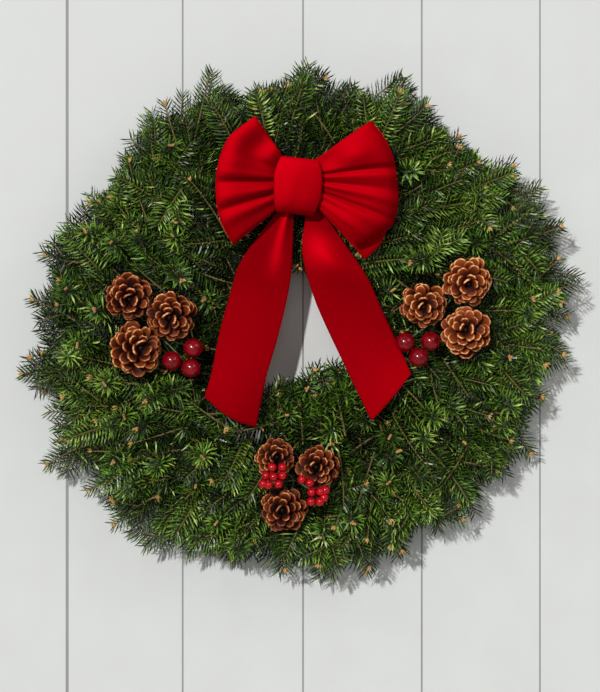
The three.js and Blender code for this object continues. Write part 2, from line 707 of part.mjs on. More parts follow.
// A bunch's core: a lattice of diamonds round a flat spindle that runs out across the
// ring. Each diamond is raised to a needle, but for those behind that bear on the stems.
function coreSolid(k) {
  const random = randomStream(500 + 11 * k);
  const [halfWidth, halfDepth, halfLength] = CORE_HALF_SIZE;
  const surface = (share, turn) => {
    const radius = RING_RADIUS + halfLength * (2 * share - 1);
    const swell = Math.sin(Math.PI * (0.08 + 0.84 * share)) ** 0.6;
    const across = (halfWidth * swell * Math.cos(turn)) / radius;
    return polar((k + 0.5) * CELL + across, radius, CORE_Y + halfDepth * swell * Math.sin(turn));
  };
  const radial = polar((k + 0.5) * CELL, 1, 0).sub(polar(0, 0, 0));
  const sideways = polar((k + 0.5) * CELL + Math.PI / 2, 1, 0).sub(polar(0, 0, 0));
  const points = [];
  const triangles = [];
  const index = (row, column) => row * CORE_AROUND + ((column + CORE_AROUND) % CORE_AROUND);
  for (let row = 0; row <= CORE_ROWS; row++) {
    for (let column = 0; column < CORE_AROUND; column++) {
      points.push(surface(row / CORE_ROWS, ((column + (row % 2) / 2) * 2 * Math.PI) / CORE_AROUND));
    }
  }
  for (let row = 0; row + 2 <= CORE_ROWS; row++) {
    for (let column = 0; column < CORE_AROUND; column++) {
      const shift = row % 2;
      const share = (row + 1) / CORE_ROWS;
      const turn = ((column + shift / 2) * 2 * Math.PI) / CORE_AROUND;
      const low = index(row, column);
      const high = index(row + 2, column);
      const left = index(row + 1, column - 1 + shift);
      const right = index(row + 1, column + shift);
      const behind = Math.sin(turn) > 0.2;
      const outward = radial.clone().multiplyScalar(2.4 * (share - 0.42));
      outward.addScaledVector(sideways, 0.7 * Math.cos(turn) + 0.5 * (random() - 0.3));
      outward.setComponent(1, behind ? 0.25 : -0.9);
      const length = NEEDLE_LENGTH * (1.15 + 0.4 * random());
      const point = surface(share, turn).addScaledVector(outward.normalize(), length);
      const onStems = behind && Math.abs(share - 0.5) < 0.2;
      if (onStems || pressedDepth(point) !== point.y) {
        triangles.push([low, right, left], [left, right, high]);
        continue;
      }
      const tip = points.push(point) - 1;
      triangles.push([low, right, tip], [right, high, tip], [high, left, tip], [left, low, tip]);
    }
  }
  closeSpindle(points, triangles, index, surface);
  return toSolid(polyhedron(points, triangles));
}

// Closes both ends of the core's lattice with fans to a point on its axis
function closeSpindle(points, triangles, index, surface) {
  const hub = (share) => {
    const middle = surface(share, 0).add(surface(share, Math.PI)).multiplyScalar(0.5);
    return points.push(middle) - 1;
  };
  const foot = hub(0);
  const tip = hub(1);
  for (let column = 0; column < CORE_AROUND; column++) {
    const near = index(0, column);
    const next = index(0, column + 1);
    triangles.push([near, next, index(1, column)], [foot, next, near]);
    const high = index(CORE_ROWS, column);
    const highNext = index(CORE_ROWS, column + 1);
    triangles.push([index(CORE_ROWS - 1, column + (CORE_ROWS % 2)), highNext, high], [high, highNext, tip]);
  }
}

function stemsSolid(k) {
  const ends = [-0.84, 0, 0.84];
  const line = ends.map((across) => polar((k + 0.5 + across / 2) * CELL, RING_RADIUS, BUNDLE_Y));
  const neck = new THREE.CylinderGeometry(5, 5, 24, 4);
  const middle = polar((k + 0.5) * CELL, RING_RADIUS, (BUNDLE_Y + CORE_Y) / 2 + 3);
  return toSolid(wireAlong(line, BUNDLE_RADIUS, 6, 2)).add(toSolid(neck.translate(...middle.toArray())));
}

// The space in front of the foliage that the bow, cones, berries and picks take
function decorationSpace() {
  const spaces = [toSolid(windingSleeve())];
  const column = (radius, x, z, backY) => {
    const geometry = new THREE.CylinderGeometry(radius, radius, backY - FRONT_Y, 8);
    return toSolid(geometry.translate(x, (backY + FRONT_Y) / 2, z));
  };
  for (const cone of CONES) spaces.push(column(cone.width / 2 + 2, ...cone.at, CONE_SEAT_Y + CONE_SINK));
  for (const berry of BERRIES) {
    spaces.push(column(BERRY_RADIUS + 1.5, ...berry.at, BERRY_Y + BERRY_RADIUS + 1));
  }
  for (const bunch of BERRY_BUNCHES) {
    for (const place of bunch.at) {
      spaces.push(column(SMALL_BERRY_RADIUS + 1.5, ...place, SMALL_BERRY_FOOT_Y + 4));
    }
  }
  for (const pick of PICKS) spaces.push(pickSolid(pick, PICK_WIRE + 1));
  spaces.push(tieSolid(TIE_WIRE + 1.1));
  const grow = (points) => points.map(([x, z]) => new THREE.Vector2(KNOT.x + x * 1.04, KNOT.z + z * 1.03));
  const fan = (loop) => grow([...loop.edge, [0, -14], [0, 26]]);
  const strip = (tail) => grow([...tail.outer, ...[...tail.inner].reverse()]);
  spaces.push(toSolid(prism(fan(LEFT_LOOP).reverse(), FRONT_Y, BOW_SEAT_Y)));
  spaces.push(toSolid(prism(fan(RIGHT_LOOP), FRONT_Y, BOW_SEAT_Y)));
  spaces.push(toSolid(prism(strip(LEFT_TAIL), FRONT_Y, BOW_SEAT_Y)));
  spaces.push(toSolid(prism(strip(RIGHT_TAIL), FRONT_Y, BOW_SEAT_Y)));
  return joinAll(spaces);
}

function bunchSolid(k, space) {
  const foliage = joinAll([coreSolid(k), ...shootsOf(k)]);
  const trimmed = foliage.intersect(sectorSolid(k)).subtract(space);
  const picks = joinAll(PICKS.map((pick) => pickSolid(pick, PICK_WIRE + 1)));
  return largestBody(trimmed.add(stemsSolid(k).subtract(picks)), FOLIAGE_DETAIL);
}

// The whole wreath

const wreath = new THREE.Group();

function place(name, geometry, finish) {
  const mesh = new THREE.Mesh(geometry, finish);
  mesh.name = name;
  wreath.add(mesh);
}

place("wire_ring", ringGeometry(), FINISH.ring);
place("winding_wire", windingGeometry(), FINISH.winding);
const space = decorationSpace();
for (let k = 0; k < BUNCHES; k++) {
  place(`fir_bunch_${String(k + 1).padStart(2, "0")}`, toGeometry(bunchSolid(k, space)), FINISH.foliage);
}
for (const cone of CONES) place(cone.name, placeCone(cone), FINISH.cone);
for (const berry of BERRIES) place(berry.name, placeBerry(berry), FINISH.berry);
for (const bunch of BERRY_BUNCHES) place(bunch.name, placeBerryBunch(bunch), FINISH.smallBerry);
for (const pick of PICKS) place(pick.name, toGeometry(pickSolid(pick, PICK_WIRE)), FINISH.pick);
place("bow_loops", toGeometry(loopsSolid()), FINISH.velvet);
place("bow_tails", toGeometry(tailsSolid()), FINISH.velvet);
place("bow_knot", knotGeometry(), FINISH.velvet);
place("bow_tie_wire", toGeometry(tieSolid(TIE_WIRE)), FINISH.pick);

export default wreath;
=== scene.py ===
import math

import bpy
import numpy as np
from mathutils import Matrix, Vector


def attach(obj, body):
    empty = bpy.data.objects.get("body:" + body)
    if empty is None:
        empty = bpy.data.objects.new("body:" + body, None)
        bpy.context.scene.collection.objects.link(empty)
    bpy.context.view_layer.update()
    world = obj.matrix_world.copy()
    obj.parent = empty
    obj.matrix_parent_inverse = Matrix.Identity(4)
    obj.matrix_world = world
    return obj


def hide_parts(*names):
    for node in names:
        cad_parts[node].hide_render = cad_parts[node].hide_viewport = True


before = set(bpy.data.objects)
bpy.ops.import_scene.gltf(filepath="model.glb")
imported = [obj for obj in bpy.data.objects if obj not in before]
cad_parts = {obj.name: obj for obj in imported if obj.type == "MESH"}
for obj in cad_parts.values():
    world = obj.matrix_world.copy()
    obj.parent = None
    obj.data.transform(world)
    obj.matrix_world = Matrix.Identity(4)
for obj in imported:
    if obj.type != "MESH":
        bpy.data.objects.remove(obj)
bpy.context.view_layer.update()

# Sizes in millimetres, as in the part
MM = 0.001
RING_RADIUS = 178.0
RING_WIRE = 2.0
CENTRE_Z = RING_WIRE - RING_RADIUS
BUNCHES = 14
CELL = 2 * math.pi / BUNCHES
# The foliage's mean reach, how much further it goes on its long axis, and that axis
MEAN_REACH = 293.0
REACH_SWELL = 12.0
SWELL_CLOCK = math.radians(75)
# How far the bunches are laid over clockwise
SWEEP = math.radians(22)
# The middle of the bow's knot, and how far back the cones and the bow press the foliage
KNOT = np.array([-2.0, -88.0, -24.0])
CONE_SEAT_Y = -62.0
BOW_SEAT_Y = -63.0
NEEDLE_LENGTH = 20.0
NEEDLE_WIDTH = 1.75
GOLDEN_TURN = math.pi * (3 - math.sqrt(5))
GOLDEN_SHARE = 0.618034

# Each cone's node, its middle, its width, its tilt across and up, and how much lighter it is
CONES = [
    ("cone_left_upper", (-185.5, -146.5), 55.5, (0.1, -0.12), -0.02),
    ("cone_left_inner", (-140.5, -166.5), 56.5, (-0.05, -0.14), 0.0),
    ("cone_left_lower", (-176, -202), 61.5, (0.32, 0.08), 0.03),
    ("cone_right_inner", (134, -155), 52.5, (-0.04, -0.16), 0.09),
    ("cone_right_upper", (181.5, -129.5), 56, (0.02, -0.2), 0.14),
    ("cone_right_lower", (180, -183), 57.5, (-0.1, 0.1), 0.12),
    ("cone_bottom_left", (-26, -320.5), 46, (0.08, 0.12), -0.04),
    ("cone_bottom_right", (19, -331), 49.5, (-0.14, 0.1), -0.04),
    ("cone_bottom_lower", (-18.5, -376.5), 52.5, (-0.06, 0.02), -0.08),
]
CONE_HEIGHT_SHARE = 0.86

BERRY_RADIUS = 10.5
BERRY_Y = -84.0
BERRIES = [
    ("berry_left_upper", (-116, -201)),
    ("berry_left_outer", (-139, -215)),
    ("berry_left_lower", (-118.5, -223)),
    ("berry_right_inner", (114.2, -195)),
    ("berry_right_outer", (141.6, -194)),
    ("berry_right_lower", (128.5, -211.2)),
]
SMALL_BERRY_RADIUS = 4.9
SMALL_BERRY_Y = -104.0
SMALL_BERRY_STAGGER = 1.6
SMALL_BERRY_FOOT_Y = -84.0
# How far the small berries stand right of and above their solids
SMALL_BERRY_SHIFT = (1.0, 3.4)
# Each bunch's node, the foot of its stalks, and its berries
BERRY_BUNCHES = [
    ("small_berries_left", (-35, -350),
     [(-31, -333), (-20, -333), (-37.5, -342), (-29.5, -343),
      (-20, -342), (-41, -351), (-35, -352), (-24, -351)]),
    ("small_berries_right", (14, -358),
     [(1, -346), (9.5, -350), (11.5, -360), (21, -359),
      (26.5, -357.5), (11, -370), (20.5, -370), (25, -365.5)]),
]

# The bow's outlines, from the middle of its knot. A ridge is its place across the ribbon, its
# width and its height, a bump its place across and out, its width both ways and its height.
LEFT_LOOP = {
    "knot_top": (-12, 23),
    "knot_foot": (-9, -15),
    "edge": [
        (-47, 73.5), (-73, 53), (-83, 34), (-88, 14), (-89, -6), (-87, -27), (-81, -46), (-70, -65),
    ],
    "ridges": [
        (0.27, 0.06, -3.0), (0.44, 0.04, 3.0), (0.52, 0.03, -8.0), (0.65, 0.05, 6.0),
        (0.735, 0.026, -7.0), (0.83, 0.05, 5.0),
    ],
    "bumps": [
        (0.03, 0.25, 0.2, 0.16, 10.0), (0.12, 0.6, 0.14, 0.2, -8.0), (0.3, 0.8, 0.16, 0.2, 5.0),
    ],
}
RIGHT_LOOP = {
    "knot_top": (10, 21),
    "knot_foot": (9, -12),
    "edge": [
        (79, 68.5), (94, 49), (103, 28), (107, 2), (108, -22), (101, -44), (84, -57), (64, -68),
    ],
    "ridges": [
        (0.345, 0.022, -10.0), (0.4, 0.03, 4.0), (0.487, 0.028, -4.0), (0.56, 0.035, 5.0),
        (0.685, 0.022, -6.5), (0.76, 0.05, 4.0), (0.9, 0.04, 3.0),
    ],
    "bumps": [
        (0.12, 0.28, 0.2, 0.14, -8.0), (0.2, 0.58, 0.13, 0.2, 9.0), (0.88, 0.6, 0.1, 0.25, 4.0),
    ],
}
UNDER_LAYER = [(97, -36), (96, -50), (88, -66), (73, -81)]
# A tail's two edges, and how far its cut end bows
LEFT_TAIL = {
    "outer": [
        (-12, -4), (-24, -29), (-45, -57), (-64, -85), (-74, -116), (-86, -160), (-95, -206),
        (-102, -230),
    ],
    "inner": [
        (-2, -4), (-5, -31), (-6, -64), (-8, -99), (-14, -132), (-24, -172), (-35.5, -212),
        (-46, -263),
    ],
    "cut": 6.5,
}
RIGHT_TAIL = {
    "outer": [
        (12, -4), (24, -26), (54, -68), (76, -101), (90, -132), (104, -162), (114, -184), (123, -205),
    ],
    "inner": [
        (2, -4), (8, -31), (4.5, -60), (7, -88), (18, -124), (34, -161), (58, -211), (80, -257),
    ],
    "cut": 1.5,
}
# The tails' depth, from the knot to their ends
TAIL_Y = [-71.6, -71, -70, -68, -66, -66, -69, -73]
RIBBON_THICKNESS = 0.9


# Node materials

# What the noises share: how strong their finer grains are, and how many most of them have
GRAIN_ROUGHNESS = 0.55
GRAIN = {"Detail": 3.0, "Roughness": GRAIN_ROUGHNESS}


def srgb(text):
    """The linear colour of a hex colour as it looks on a screen."""
    values = [int(text[i:i + 2], 16) / 255 for i in (0, 2, 4)]
    linear = [v / 12.92 if v <= 0.04045 else ((v + 0.055) / 1.055) ** 2.4 for v in values]
    return (*linear, 1.0)


def add(tree, kind, output=None, inputs=None, stops=(), **settings):
    """Adds one node with its settings, the values or links of its inputs, and the stops of its
    colour ramp, each a position and a hex colour. Returns one of its outputs."""
    made = tree.nodes.new("ShaderNode" + kind)
    for key, value in settings.items():
        setattr(made, key, value)
    for key, value in (inputs or {}).items():
        if isinstance(value, bpy.types.NodeSocket):
            tree.links.new(value, made.inputs[key])
        else:
            made.inputs[key].default_value = value
    for _ in stops[2:]:
        made.color_ramp.elements.new(0.5)
    for i, (position, colour) in enumerate(stops):
        made.color_ramp.elements[i].position = position
        made.color_ramp.elements[i].color = srgb(colour)
    return None if output is None else made.outputs[output]


def new_material(name):
    """An empty node material, and the object coordinates of what wears it."""
    material = bpy.data.materials.new(name)
    material.use_nodes = True
    tree = material.node_tree
    tree.nodes.clear()
    return material, tree, add(tree, "TexCoord", "Object")


def needle_material():
    """Fresh fir needles: living leaf under a thin smooth wax. The leaf's green follows the tone
    values, whose painted shade makes it deep in the mass and whose painted light makes it pale
    at the tips, and the wax gives it narrow soft glints. Whole shoots run bluer or yellower over
    40 mm. The skin's grain of 0.1 mm is drawn 1.2 and 5 mm coarse, so that it shows."""
    material, tree, place = new_material("fir_needle")
    tone = add(tree, "Attribute", "Fac", attribute_name="tone")
    # The tone values carry painted shade and painted light as well as the leaf's own tone
    leaf = add(tree, "ValToRGB", "Color", {"Fac": tone}, [
        (0.0, "040802"), (0.2, "101c07"), (0.42, "284410"), (0.62, "669030"), (0.82, "b2cc66"),
        (0.92, "cad6a4"),
    ])
    broad = add(tree, "TexNoise", "Fac", {**GRAIN, "Vector": place, "Scale": 1 / (40.0 * MM)})
    patch = add(tree, "ValToRGB", "Color", {"Fac": broad}, [(0.35, "78904a"), (0.65, "a89844")])
    skin = add(tree, "TexNoise", "Fac", {**GRAIN, "Vector": place, "Scale": 1 / (5.0 * MM)})
    wax = add(tree, "TexNoise", "Fac", {**GRAIN, "Vector": place, "Scale": 1 / (1.2 * MM)})
    green = {0: 0.45, 6: leaf, 7: patch}
    surface = add(tree, "BsdfPrincipled", "BSDF", {
        "Base Color": add(tree, "Mix", 2, green, data_type="RGBA", blend_type="OVERLAY"),
        "Roughness": add(tree, "MapRange", "Result", {"Value": skin, "To Min": 0.26, "To Max": 0.42}),
        "Specular IOR Level": 0.42,
        "Normal": add(tree, "Bump", "Normal", {"Height": wax, "Distance": 0.15 * MM, "Strength": 0.4}),
    })
    add(tree, "OutputMaterial", inputs={"Surface": surface})
    return material


def grained_material(name, size, detail, colours, roughness, stands, **constants):
    """A finish whose colour, roughness and relief follow one noise, which has grains of size
    mm. The relief stands up by some mm at some strength."""
    material, tree, place = new_material(name)
    noise = {"Vector": place, "Scale": 1 / (size * MM), "Detail": detail}
    grain = add(tree, "TexNoise", "Fac", {**noise, "Roughness": GRAIN_ROUGHNESS})
    low, high = roughness
    distance, strength = stands
    bump = {"Height": grain, "Distance": distance * MM, "Strength": strength}
    surface = add(tree, "BsdfPrincipled", "BSDF", {
        "Base Color": add(tree, "ValToRGB", "Color", {"Fac": grain}, colours),
        "Roughness": add(tree, "MapRange", "Result", {"Value": grain, "To Min": low, "To Max": high}),
        "Normal": add(tree, "Bump", "Normal", bump),
        **constants,
    })
    add(tree, "OutputMaterial", inputs={"Surface": surface})
    return material


def cone_material():
    """Dried pine cones: bare wood that opened as it dried. Painted shade makes it nearly black in
    the throat; it is red brown along a scale and pale tan at its rim, partly the wood's own worn
    edge and partly painted light, which draws each scale's edge. It hardly shines. Stains are 5 mm
    wide. Its fibres of 0.2 mm are drawn 1.3 mm coarse to show."""
    material, tree, place = new_material("dried_pine_cone")
    rim = add(tree, "Attribute", "Fac", attribute_name="rim")
    # Near black painted shade in the throat, and a pale tan rim that is partly painted light
    scale = add(tree, "ValToRGB", "Color", {"Fac": rim}, [
        (0.0, "0a0301"), (0.3, "3c1509"), (0.58, "8c461c"), (0.8, "b87038"), (1.0, "f0c898"),
    ])
    blots = {"Vector": place, "Scale": 1 / (5.0 * MM), "Detail": 5.0, "Roughness": GRAIN_ROUGHNESS}
    stains = add(tree, "TexNoise", "Fac", blots)
    stain = add(tree, "ValToRGB", "Color", {"Fac": stains}, [(0.3, "5e301c"), (0.7, "b8804c")])
    fibre = add(tree, "TexNoise", "Fac", {**GRAIN, "Vector": place, "Scale": 1 / (1.3 * MM)})
    wood = {0: 0.5, 6: scale, 7: stain}
    surface = add(tree, "BsdfPrincipled", "BSDF", {
        "Base Color": add(tree, "Mix", 2, wood, data_type="RGBA", blend_type="OVERLAY"),
        "Roughness": add(tree, "MapRange", "Result", {"Value": fibre, "To Min": 0.45, "To Max": 0.7}),
        "Specular IOR Level": 0.2,
        "Normal": add(tree, "Bump", "Normal", {"Height": fibre, "Distance": 0.35 * MM, "Strength": 0.7}),
    })
    add(tree, "OutputMaterial", inputs={"Surface": surface})
    return material


def berry_material(name, dark, bright):
    """Moulded foam berries dipped in red lacquer: a slightly mottled colour under a clear coat,
    which gives one bright soft highlight and no other shine. Mottle and dents are 6 to 7 mm."""
    material, tree, place = new_material(name)
    mottle = add(tree, "TexNoise", "Fac", {**GRAIN, "Vector": place, "Scale": 1 / (7.0 * MM)})
    dents = add(tree, "TexNoise", "Fac", {**GRAIN, "Vector": place, "Scale": 1 / (6.0 * MM)})
    surface = add(tree, "BsdfPrincipled", "BSDF", {
        "Base Color": add(tree, "ValToRGB", "Color", {"Fac": mottle}, [(0.3, dark), (0.75, bright)]),
        "Roughness": add(tree, "MapRange", "Result", {"Value": mottle, "To Min": 0.3, "To Max": 0.42}),
        "Specular IOR Level": 0.0,
        "Coat Weight": 0.75,
        "Coat Roughness": 0.18,
        "Normal": add(tree, "Bump", "Normal", {"Height": dents, "Distance": 0.05 * MM, "Strength": 0.1}),
    })
    add(tree, "OutputMaterial", inputs={"Surface": surface})
    return material


def velvet_material():
    """Woven velvet ribbon with a cut pile that lies one way. Its colour is painted lighter on the
    sides turned to the light on the upper left and painted near black red in the folds as shade; it has
    a soft sheen and no gloss.
    The pile's tufts of 0.1 mm are drawn 0.9 mm coarse, so that they show."""
    material, tree, place = new_material("red_velvet")
    painted_pile_light = add(tree, "Attribute", "Fac", attribute_name="painted_pile_light")
    # The pile's colour carries painted light on the sides turned to the upper left and painted shade in
    # the folds
    painted_light = add(tree, "ValToRGB", "Color", {"Fac": painted_pile_light}, [
        (0.0, "560004"), (0.4, "840008"), (0.62, "a8000c"), (1.0, "d80016"),
    ])
    weave = {"Vector": place, "Scale": 1 / (0.9 * MM), "Detail": 2.0, "Roughness": GRAIN_ROUGHNESS}
    tufts = add(tree, "TexNoise", "Fac", weave)
    tuft = add(tree, "ValToRGB", "Color", {"Fac": tufts}, [(0.3, "5a0005"), (0.7, "b40010")])
    pile = {0: 0.22, 6: painted_light, 7: tuft}
    stands = {"Height": tufts, "Distance": 0.25 * MM, "Strength": 0.35}
    surface = add(tree, "BsdfPrincipled", "BSDF", {
        "Base Color": add(tree, "Mix", 2, pile, data_type="RGBA"),
        "Roughness": add(tree, "MapRange", "Result", {"Value": tufts, "To Min": 0.8, "To Max": 0.95}),
        "Specular IOR Level": 0.0,
        "Sheen Weight": 0.6,
        "Sheen Roughness": 0.35,
        "Sheen Tint": srgb("ff0018"),
        "Normal": add(tree, "Bump", "Normal", stands),
    })
    add(tree, "OutputMaterial", inputs={"Surface": surface})
    return material


def paper_wire_material():
    """Pick wire wrapped at a slant in green paper tape, dull and slightly ridged. The tape's
    turns, 3 mm apart on a real pick, are drawn about twice as coarse, so that they show."""
    material, tree, place = new_material("paper_wrapped_wire")
    tape = {"Vector": place, "Scale": 1 / (9 * MM), "Distortion": 2.0}
    wrap = add(tree, "TexWave", "Fac", tape, bands_direction="DIAGONAL")
    surface = add(tree, "BsdfPrincipled", "BSDF", {
        "Base Color": add(tree, "ValToRGB", "Color", {"Fac": wrap}, [(0.2, "2c3d22"), (0.8, "4d6438")]),
        "Roughness": add(tree, "MapRange", "Result", {"Value": wrap, "To Min": 0.7, "To Max": 0.9}),
        "Normal": add(tree, "Bump", "Normal", {"Height": wrap, "Distance": 0.2 * MM, "Strength": 0.6}),
    })
    add(tree, "OutputMaterial", inputs={"Surface": surface})
    return material


def wall_material(name, dark, light):
    """Wooden boards under satin house paint put on with a brush, even and nearly matt, with brush
    marks over 60 mm; in grey the same finish stands for the painted shade in the gaps between the
    boards. It is seen from the front only, so that the wreath's back can be looked at."""
    material, tree, place = new_material(name)
    strokes = {"Vector": place, "Scale": 1 / (60.0 * MM), "Detail": 4.0, "Roughness": GRAIN_ROUGHNESS}
    brush = add(tree, "TexNoise", "Fac", strokes)
    paint = add(tree, "BsdfPrincipled", "BSDF", {
        "Base Color": add(tree, "ValToRGB", "Color", {"Fac": brush}, [(0.3, dark), (0.7, light)]),
        "Roughness": add(tree, "MapRange", "Result", {"Value": brush, "To Min": 0.5, "To Max": 0.65}),
    })
    behind = add(tree, "NewGeometry", "Backfacing")
    clear = add(tree, "BsdfTransparent", "BSDF")
    shown = add(tree, "MixShader", "Shader", {0: behind, 1: paint, 2: clear})
    add(tree, "OutputMaterial", inputs={"Surface": shown})
    return material


MATERIALS = {
    "needle": needle_material(),
    # Bark of a young fir twig, grown outdoors: dull and rough, olive brown with paler ridges
    # that are 3 mm apart
    "twig": grained_material(
        "fir_twig_bark", 3.0, 5.0, [(0.25, "48411f"), (0.55, "736936"), (0.8, "9a8b52")],
        (0.6, 0.85), (0.4, 0.7),
    ),
    # Fir buds sealed in dried resin: ochre drops with a soft shine, beaded every 1.5 mm
    "bud": grained_material(
        "fir_bud_resin", 1.5, 3.0, [(0.3, "8c6432"), (0.7, "d0a664")], (0.35, 0.55), (0.3, 0.6),
    ),
    "cone": cone_material(),
    "large_berry": berry_material("dark_red_lacquer", "5c0008", "860010"),
    "small_berry": berry_material("bright_red_lacquer", "8c000c", "b60014"),
    "velvet": velvet_material(),
    # Drawn steel dipped in green plastic: a low even shine, worn duller in patches of 12 mm
    "ring": grained_material(
        "green_coated_steel", 12.0, 4.0, [(0.35, "1b3522"), (0.7, "2c5236")],
        (0.35, 0.6), (0.15, 0.5), Metallic=0.2,
    ),
    # Annealed florist wire in green enamel: thin, with a low shine, scuffed about every 6 mm
    "winding": grained_material(
        "green_florist_wire", 6.0, 4.0, [(0.35, "22402a"), (0.7, "3c5f41")],
        (0.35, 0.6), (0.15, 0.5), Metallic=0.2,
    ),
    "pick": paper_wire_material(),
}


# Meshes from arrays

def join(shapes):
    """One shape from several. A shape is its points, triangles, material numbers and values."""
    starts = np.cumsum([0] + [len(shape[0]) for shape in shapes[:-1]])
    points = np.concatenate([shape[0] for shape in shapes])
    triangles = np.concatenate([shape[1] + start for shape, start in zip(shapes, starts)])
    kinds = np.concatenate([shape[2] for shape in shapes])
    values = np.concatenate([shape[3] for shape in shapes])
    return points, triangles, kinds, values


def plain(points, triangles, kind=0, value=0.0):
    """A shape with one material and one value all over."""
    return points, triangles, np.full(len(triangles), kind), np.full(len(points), value)


def piece(name, shape, materials, node, smooth=True, value_name=None):
    """A piece in metres that rides on the part and stands for one of its nodes."""
    points, triangles, kinds, values = shape
    mesh = bpy.data.meshes.new(name)
    mesh.from_pydata((points * MM).tolist(), [], triangles.tolist())
    for material in materials:
        mesh.materials.append(MATERIALS[material])
    mesh.polygons.foreach_set("material_index", kinds.astype(np.int32))
    mesh.polygons.foreach_set("use_smooth", np.full(len(triangles), smooth))
    if value_name:
        layer = mesh.attributes.new(value_name, "FLOAT", "POINT")
        layer.data.foreach_set("value", values.astype(np.float32))
    mesh.update()
    made = bpy.data.objects.new(name, mesh)
    bpy.context.scene.collection.objects.link(made)
    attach(made, "root")
    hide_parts(node)
    return made


def unit(vectors):
    """Vectors of length 1 that point the same way."""
    return vectors / np.maximum(np.linalg.norm(vectors, axis=-1, keepdims=True), 1e-9)


def smooth_line(points, count):
    """Points on a Catmull-Rom line through the given points, evenly spread by their number.
    Between two of them it is the cubic whose slope at each is half of the step from the one
    before to the one after."""
    points = np.asarray(points, float)
    padded = np.concatenate([[2 * points[0] - points[1]], points, [2 * points[-1] - points[-2]]])
    at = np.linspace(0, len(points) - 1, count)
    first = np.minimum(at.astype(int), len(points) - 2)
    share = (at - first)[:, None]
    a, b, c, d = (padded[first + i] for i in range(4))
    return 0.5 * (2 * b + (c - a) * share + (2 * a - 5 * b + 4 * c - d) * share ** 2
                  + (3 * b - a - 3 * c + d) * share ** 3)


def grid_faces(rows, columns, flip=False):
    """Two triangles for each square of a grid of points, rows by columns."""
    corner = np.arange(rows * columns).reshape(rows, columns)
    a, b = corner[:-1, :-1].ravel(), corner[1:, :-1].ravel()
    c, d = corner[1:, 1:].ravel(), corner[:-1, 1:].ravel()
    triangles = np.concatenate([np.stack([a, b, c], 1), np.stack([a, c, d], 1)])
    return triangles[:, ::-1] if flip else triangles


def sheet(grid, thickness):
    """A closed sheet round a grid of points. Each point is set out both ways by half the
    thickness along the cross product of the grid's two directions there."""
    rows, columns = grid.shape[:2]
    along, across = np.gradient(grid, axis=0), np.gradient(grid, axis=1)
    half = np.broadcast_to(thickness, (rows, columns))[..., None] / 2
    offset = unit(np.cross(along, across)) * half
    points = np.concatenate([(grid + offset).reshape(-1, 3), (grid - offset).reshape(-1, 3)])
    under = rows * columns
    corner = np.arange(under).reshape(rows, columns)
    rim = np.concatenate([corner[0, :-1], corner[:-1, -1], corner[-1, :0:-1], corner[:0:-1, 0]])
    after = np.roll(rim, -1)
    return points, np.concatenate([
        grid_faces(rows, columns),
        grid_faces(rows, columns, True) + under,
        np.stack([rim, after, after + under], 1),
        np.stack([rim, after + under, rim + under], 1),
    ])


def ring_faces(rings, around):
    """The triangles of a closed body of rings of points: two for each square between two rings,
    and one from each side of an end ring to the point in the middle of that end."""
    near = np.arange(around)
    after = (near + 1) % around
    low = np.arange(rings - 1)[:, None] * around
    high = low + around
    walls = [(low + near, low + after, high + after), (low + near, high + after, high + near)]
    walls = np.stack([np.stack(corners, -1) for corners in walls], 1).reshape(-1, 3)
    last, foot, tip = (rings - 1) * around, rings * around, rings * around + 1
    return np.concatenate([
        walls,
        np.stack([np.full(around, foot), after, near], 1),
        np.stack([np.full(around, tip), last + near, last + after], 1),
    ])


def tube(line, radius, sides):
    """A closed tube along a line of points. Each ring of points is a circle of the given
    radius square to the line, and each end has a point in its middle."""
    line = np.asarray(line, float)
    tangent = unit(np.gradient(line, axis=0))
    guide = np.where(np.abs(tangent[:, 1:2]) > 0.8, [[1.0, 0, 0]], [[0, 1.0, 0]])
    side = unit(np.cross(guide, tangent))
    up = np.cross(tangent, side)
    turn = (2 * math.pi * np.arange(sides) / sides)[None, :, None]
    radius = np.broadcast_to(radius, len(line))[:, None, None]
    rings = line[:, None] + radius * (side[:, None] * np.cos(turn) + up[:, None] * np.sin(turn))
    points = np.concatenate([rings.reshape(-1, 3), line[:1], line[-1:]])
    return points, ring_faces(len(line), sides)


def ball(around, rows):
    """A ball of radius 1. Each ring's radius is the sine of its angle from the pole, and its
    place along Y the cosine, with one point at each pole."""
    from_pole = (math.pi * np.arange(1, rows) / rows)[:, None]
    turn = 2 * math.pi * np.arange(around) / around
    rings = np.stack(np.broadcast_arrays(
        np.sin(from_pole) * np.cos(turn), -np.cos(from_pole), np.sin(from_pole) * np.sin(turn),
    ), -1)
    points = np.concatenate([rings.reshape(-1, 3), [[0, -1, 0], [0, 1, 0]]])
    return points, ring_faces(rows - 1, around)


# Places round the wreath

def polar(clock, radius, depth):
    """Points by clock angle from the top, distance from the wreath's centre, and depth. Across
    is the radius times the angle's sine, and up the radius times its cosine."""
    up = CENTRE_Z + radius * np.cos(clock)
    return np.stack(np.broadcast_arrays(radius * np.sin(clock), depth, up), -1)


def swept_clock(clock, radius):
    """The clock angle on a spiral that crosses every circle at the sweep's angle."""
    return clock + math.tan(SWEEP) * math.log(radius / RING_RADIUS)


def in_sector(k, across, radius, depth):
    """A place in a bunch's sector, across from -1 to 1. Outside the ring it is stretched to the
    wreath's reach there, which swells with the cosine of twice the clock angle."""
    clock = swept_clock((k + 0.5 + across / 2) * CELL, radius)
    reach = MEAN_REACH + REACH_SWELL * math.cos(2 * (clock - SWELL_CLOCK))
    stretch = (reach - RING_RADIUS) / (MEAN_REACH - RING_RADIUS)
    if radius > RING_RADIUS:
        radius = RING_RADIUS + (radius - RING_RADIUS) * stretch
    return polar(clock, radius, depth)


# How far from their middles the cones and the berries press on the foliage, and how deep
CONE_PRESS = 38
BERRY_PRESS = 22
PRESSED_IN = 14
# What the loops and the tails press on, from the middle of the knot
LOOPS_REACH, LOOPS_FOOT, LOOPS_TOP = 112, -90, 82
TAILS_MIDDLE, TAILS_REACH, TAILS_FOOT = 8, 120, -262


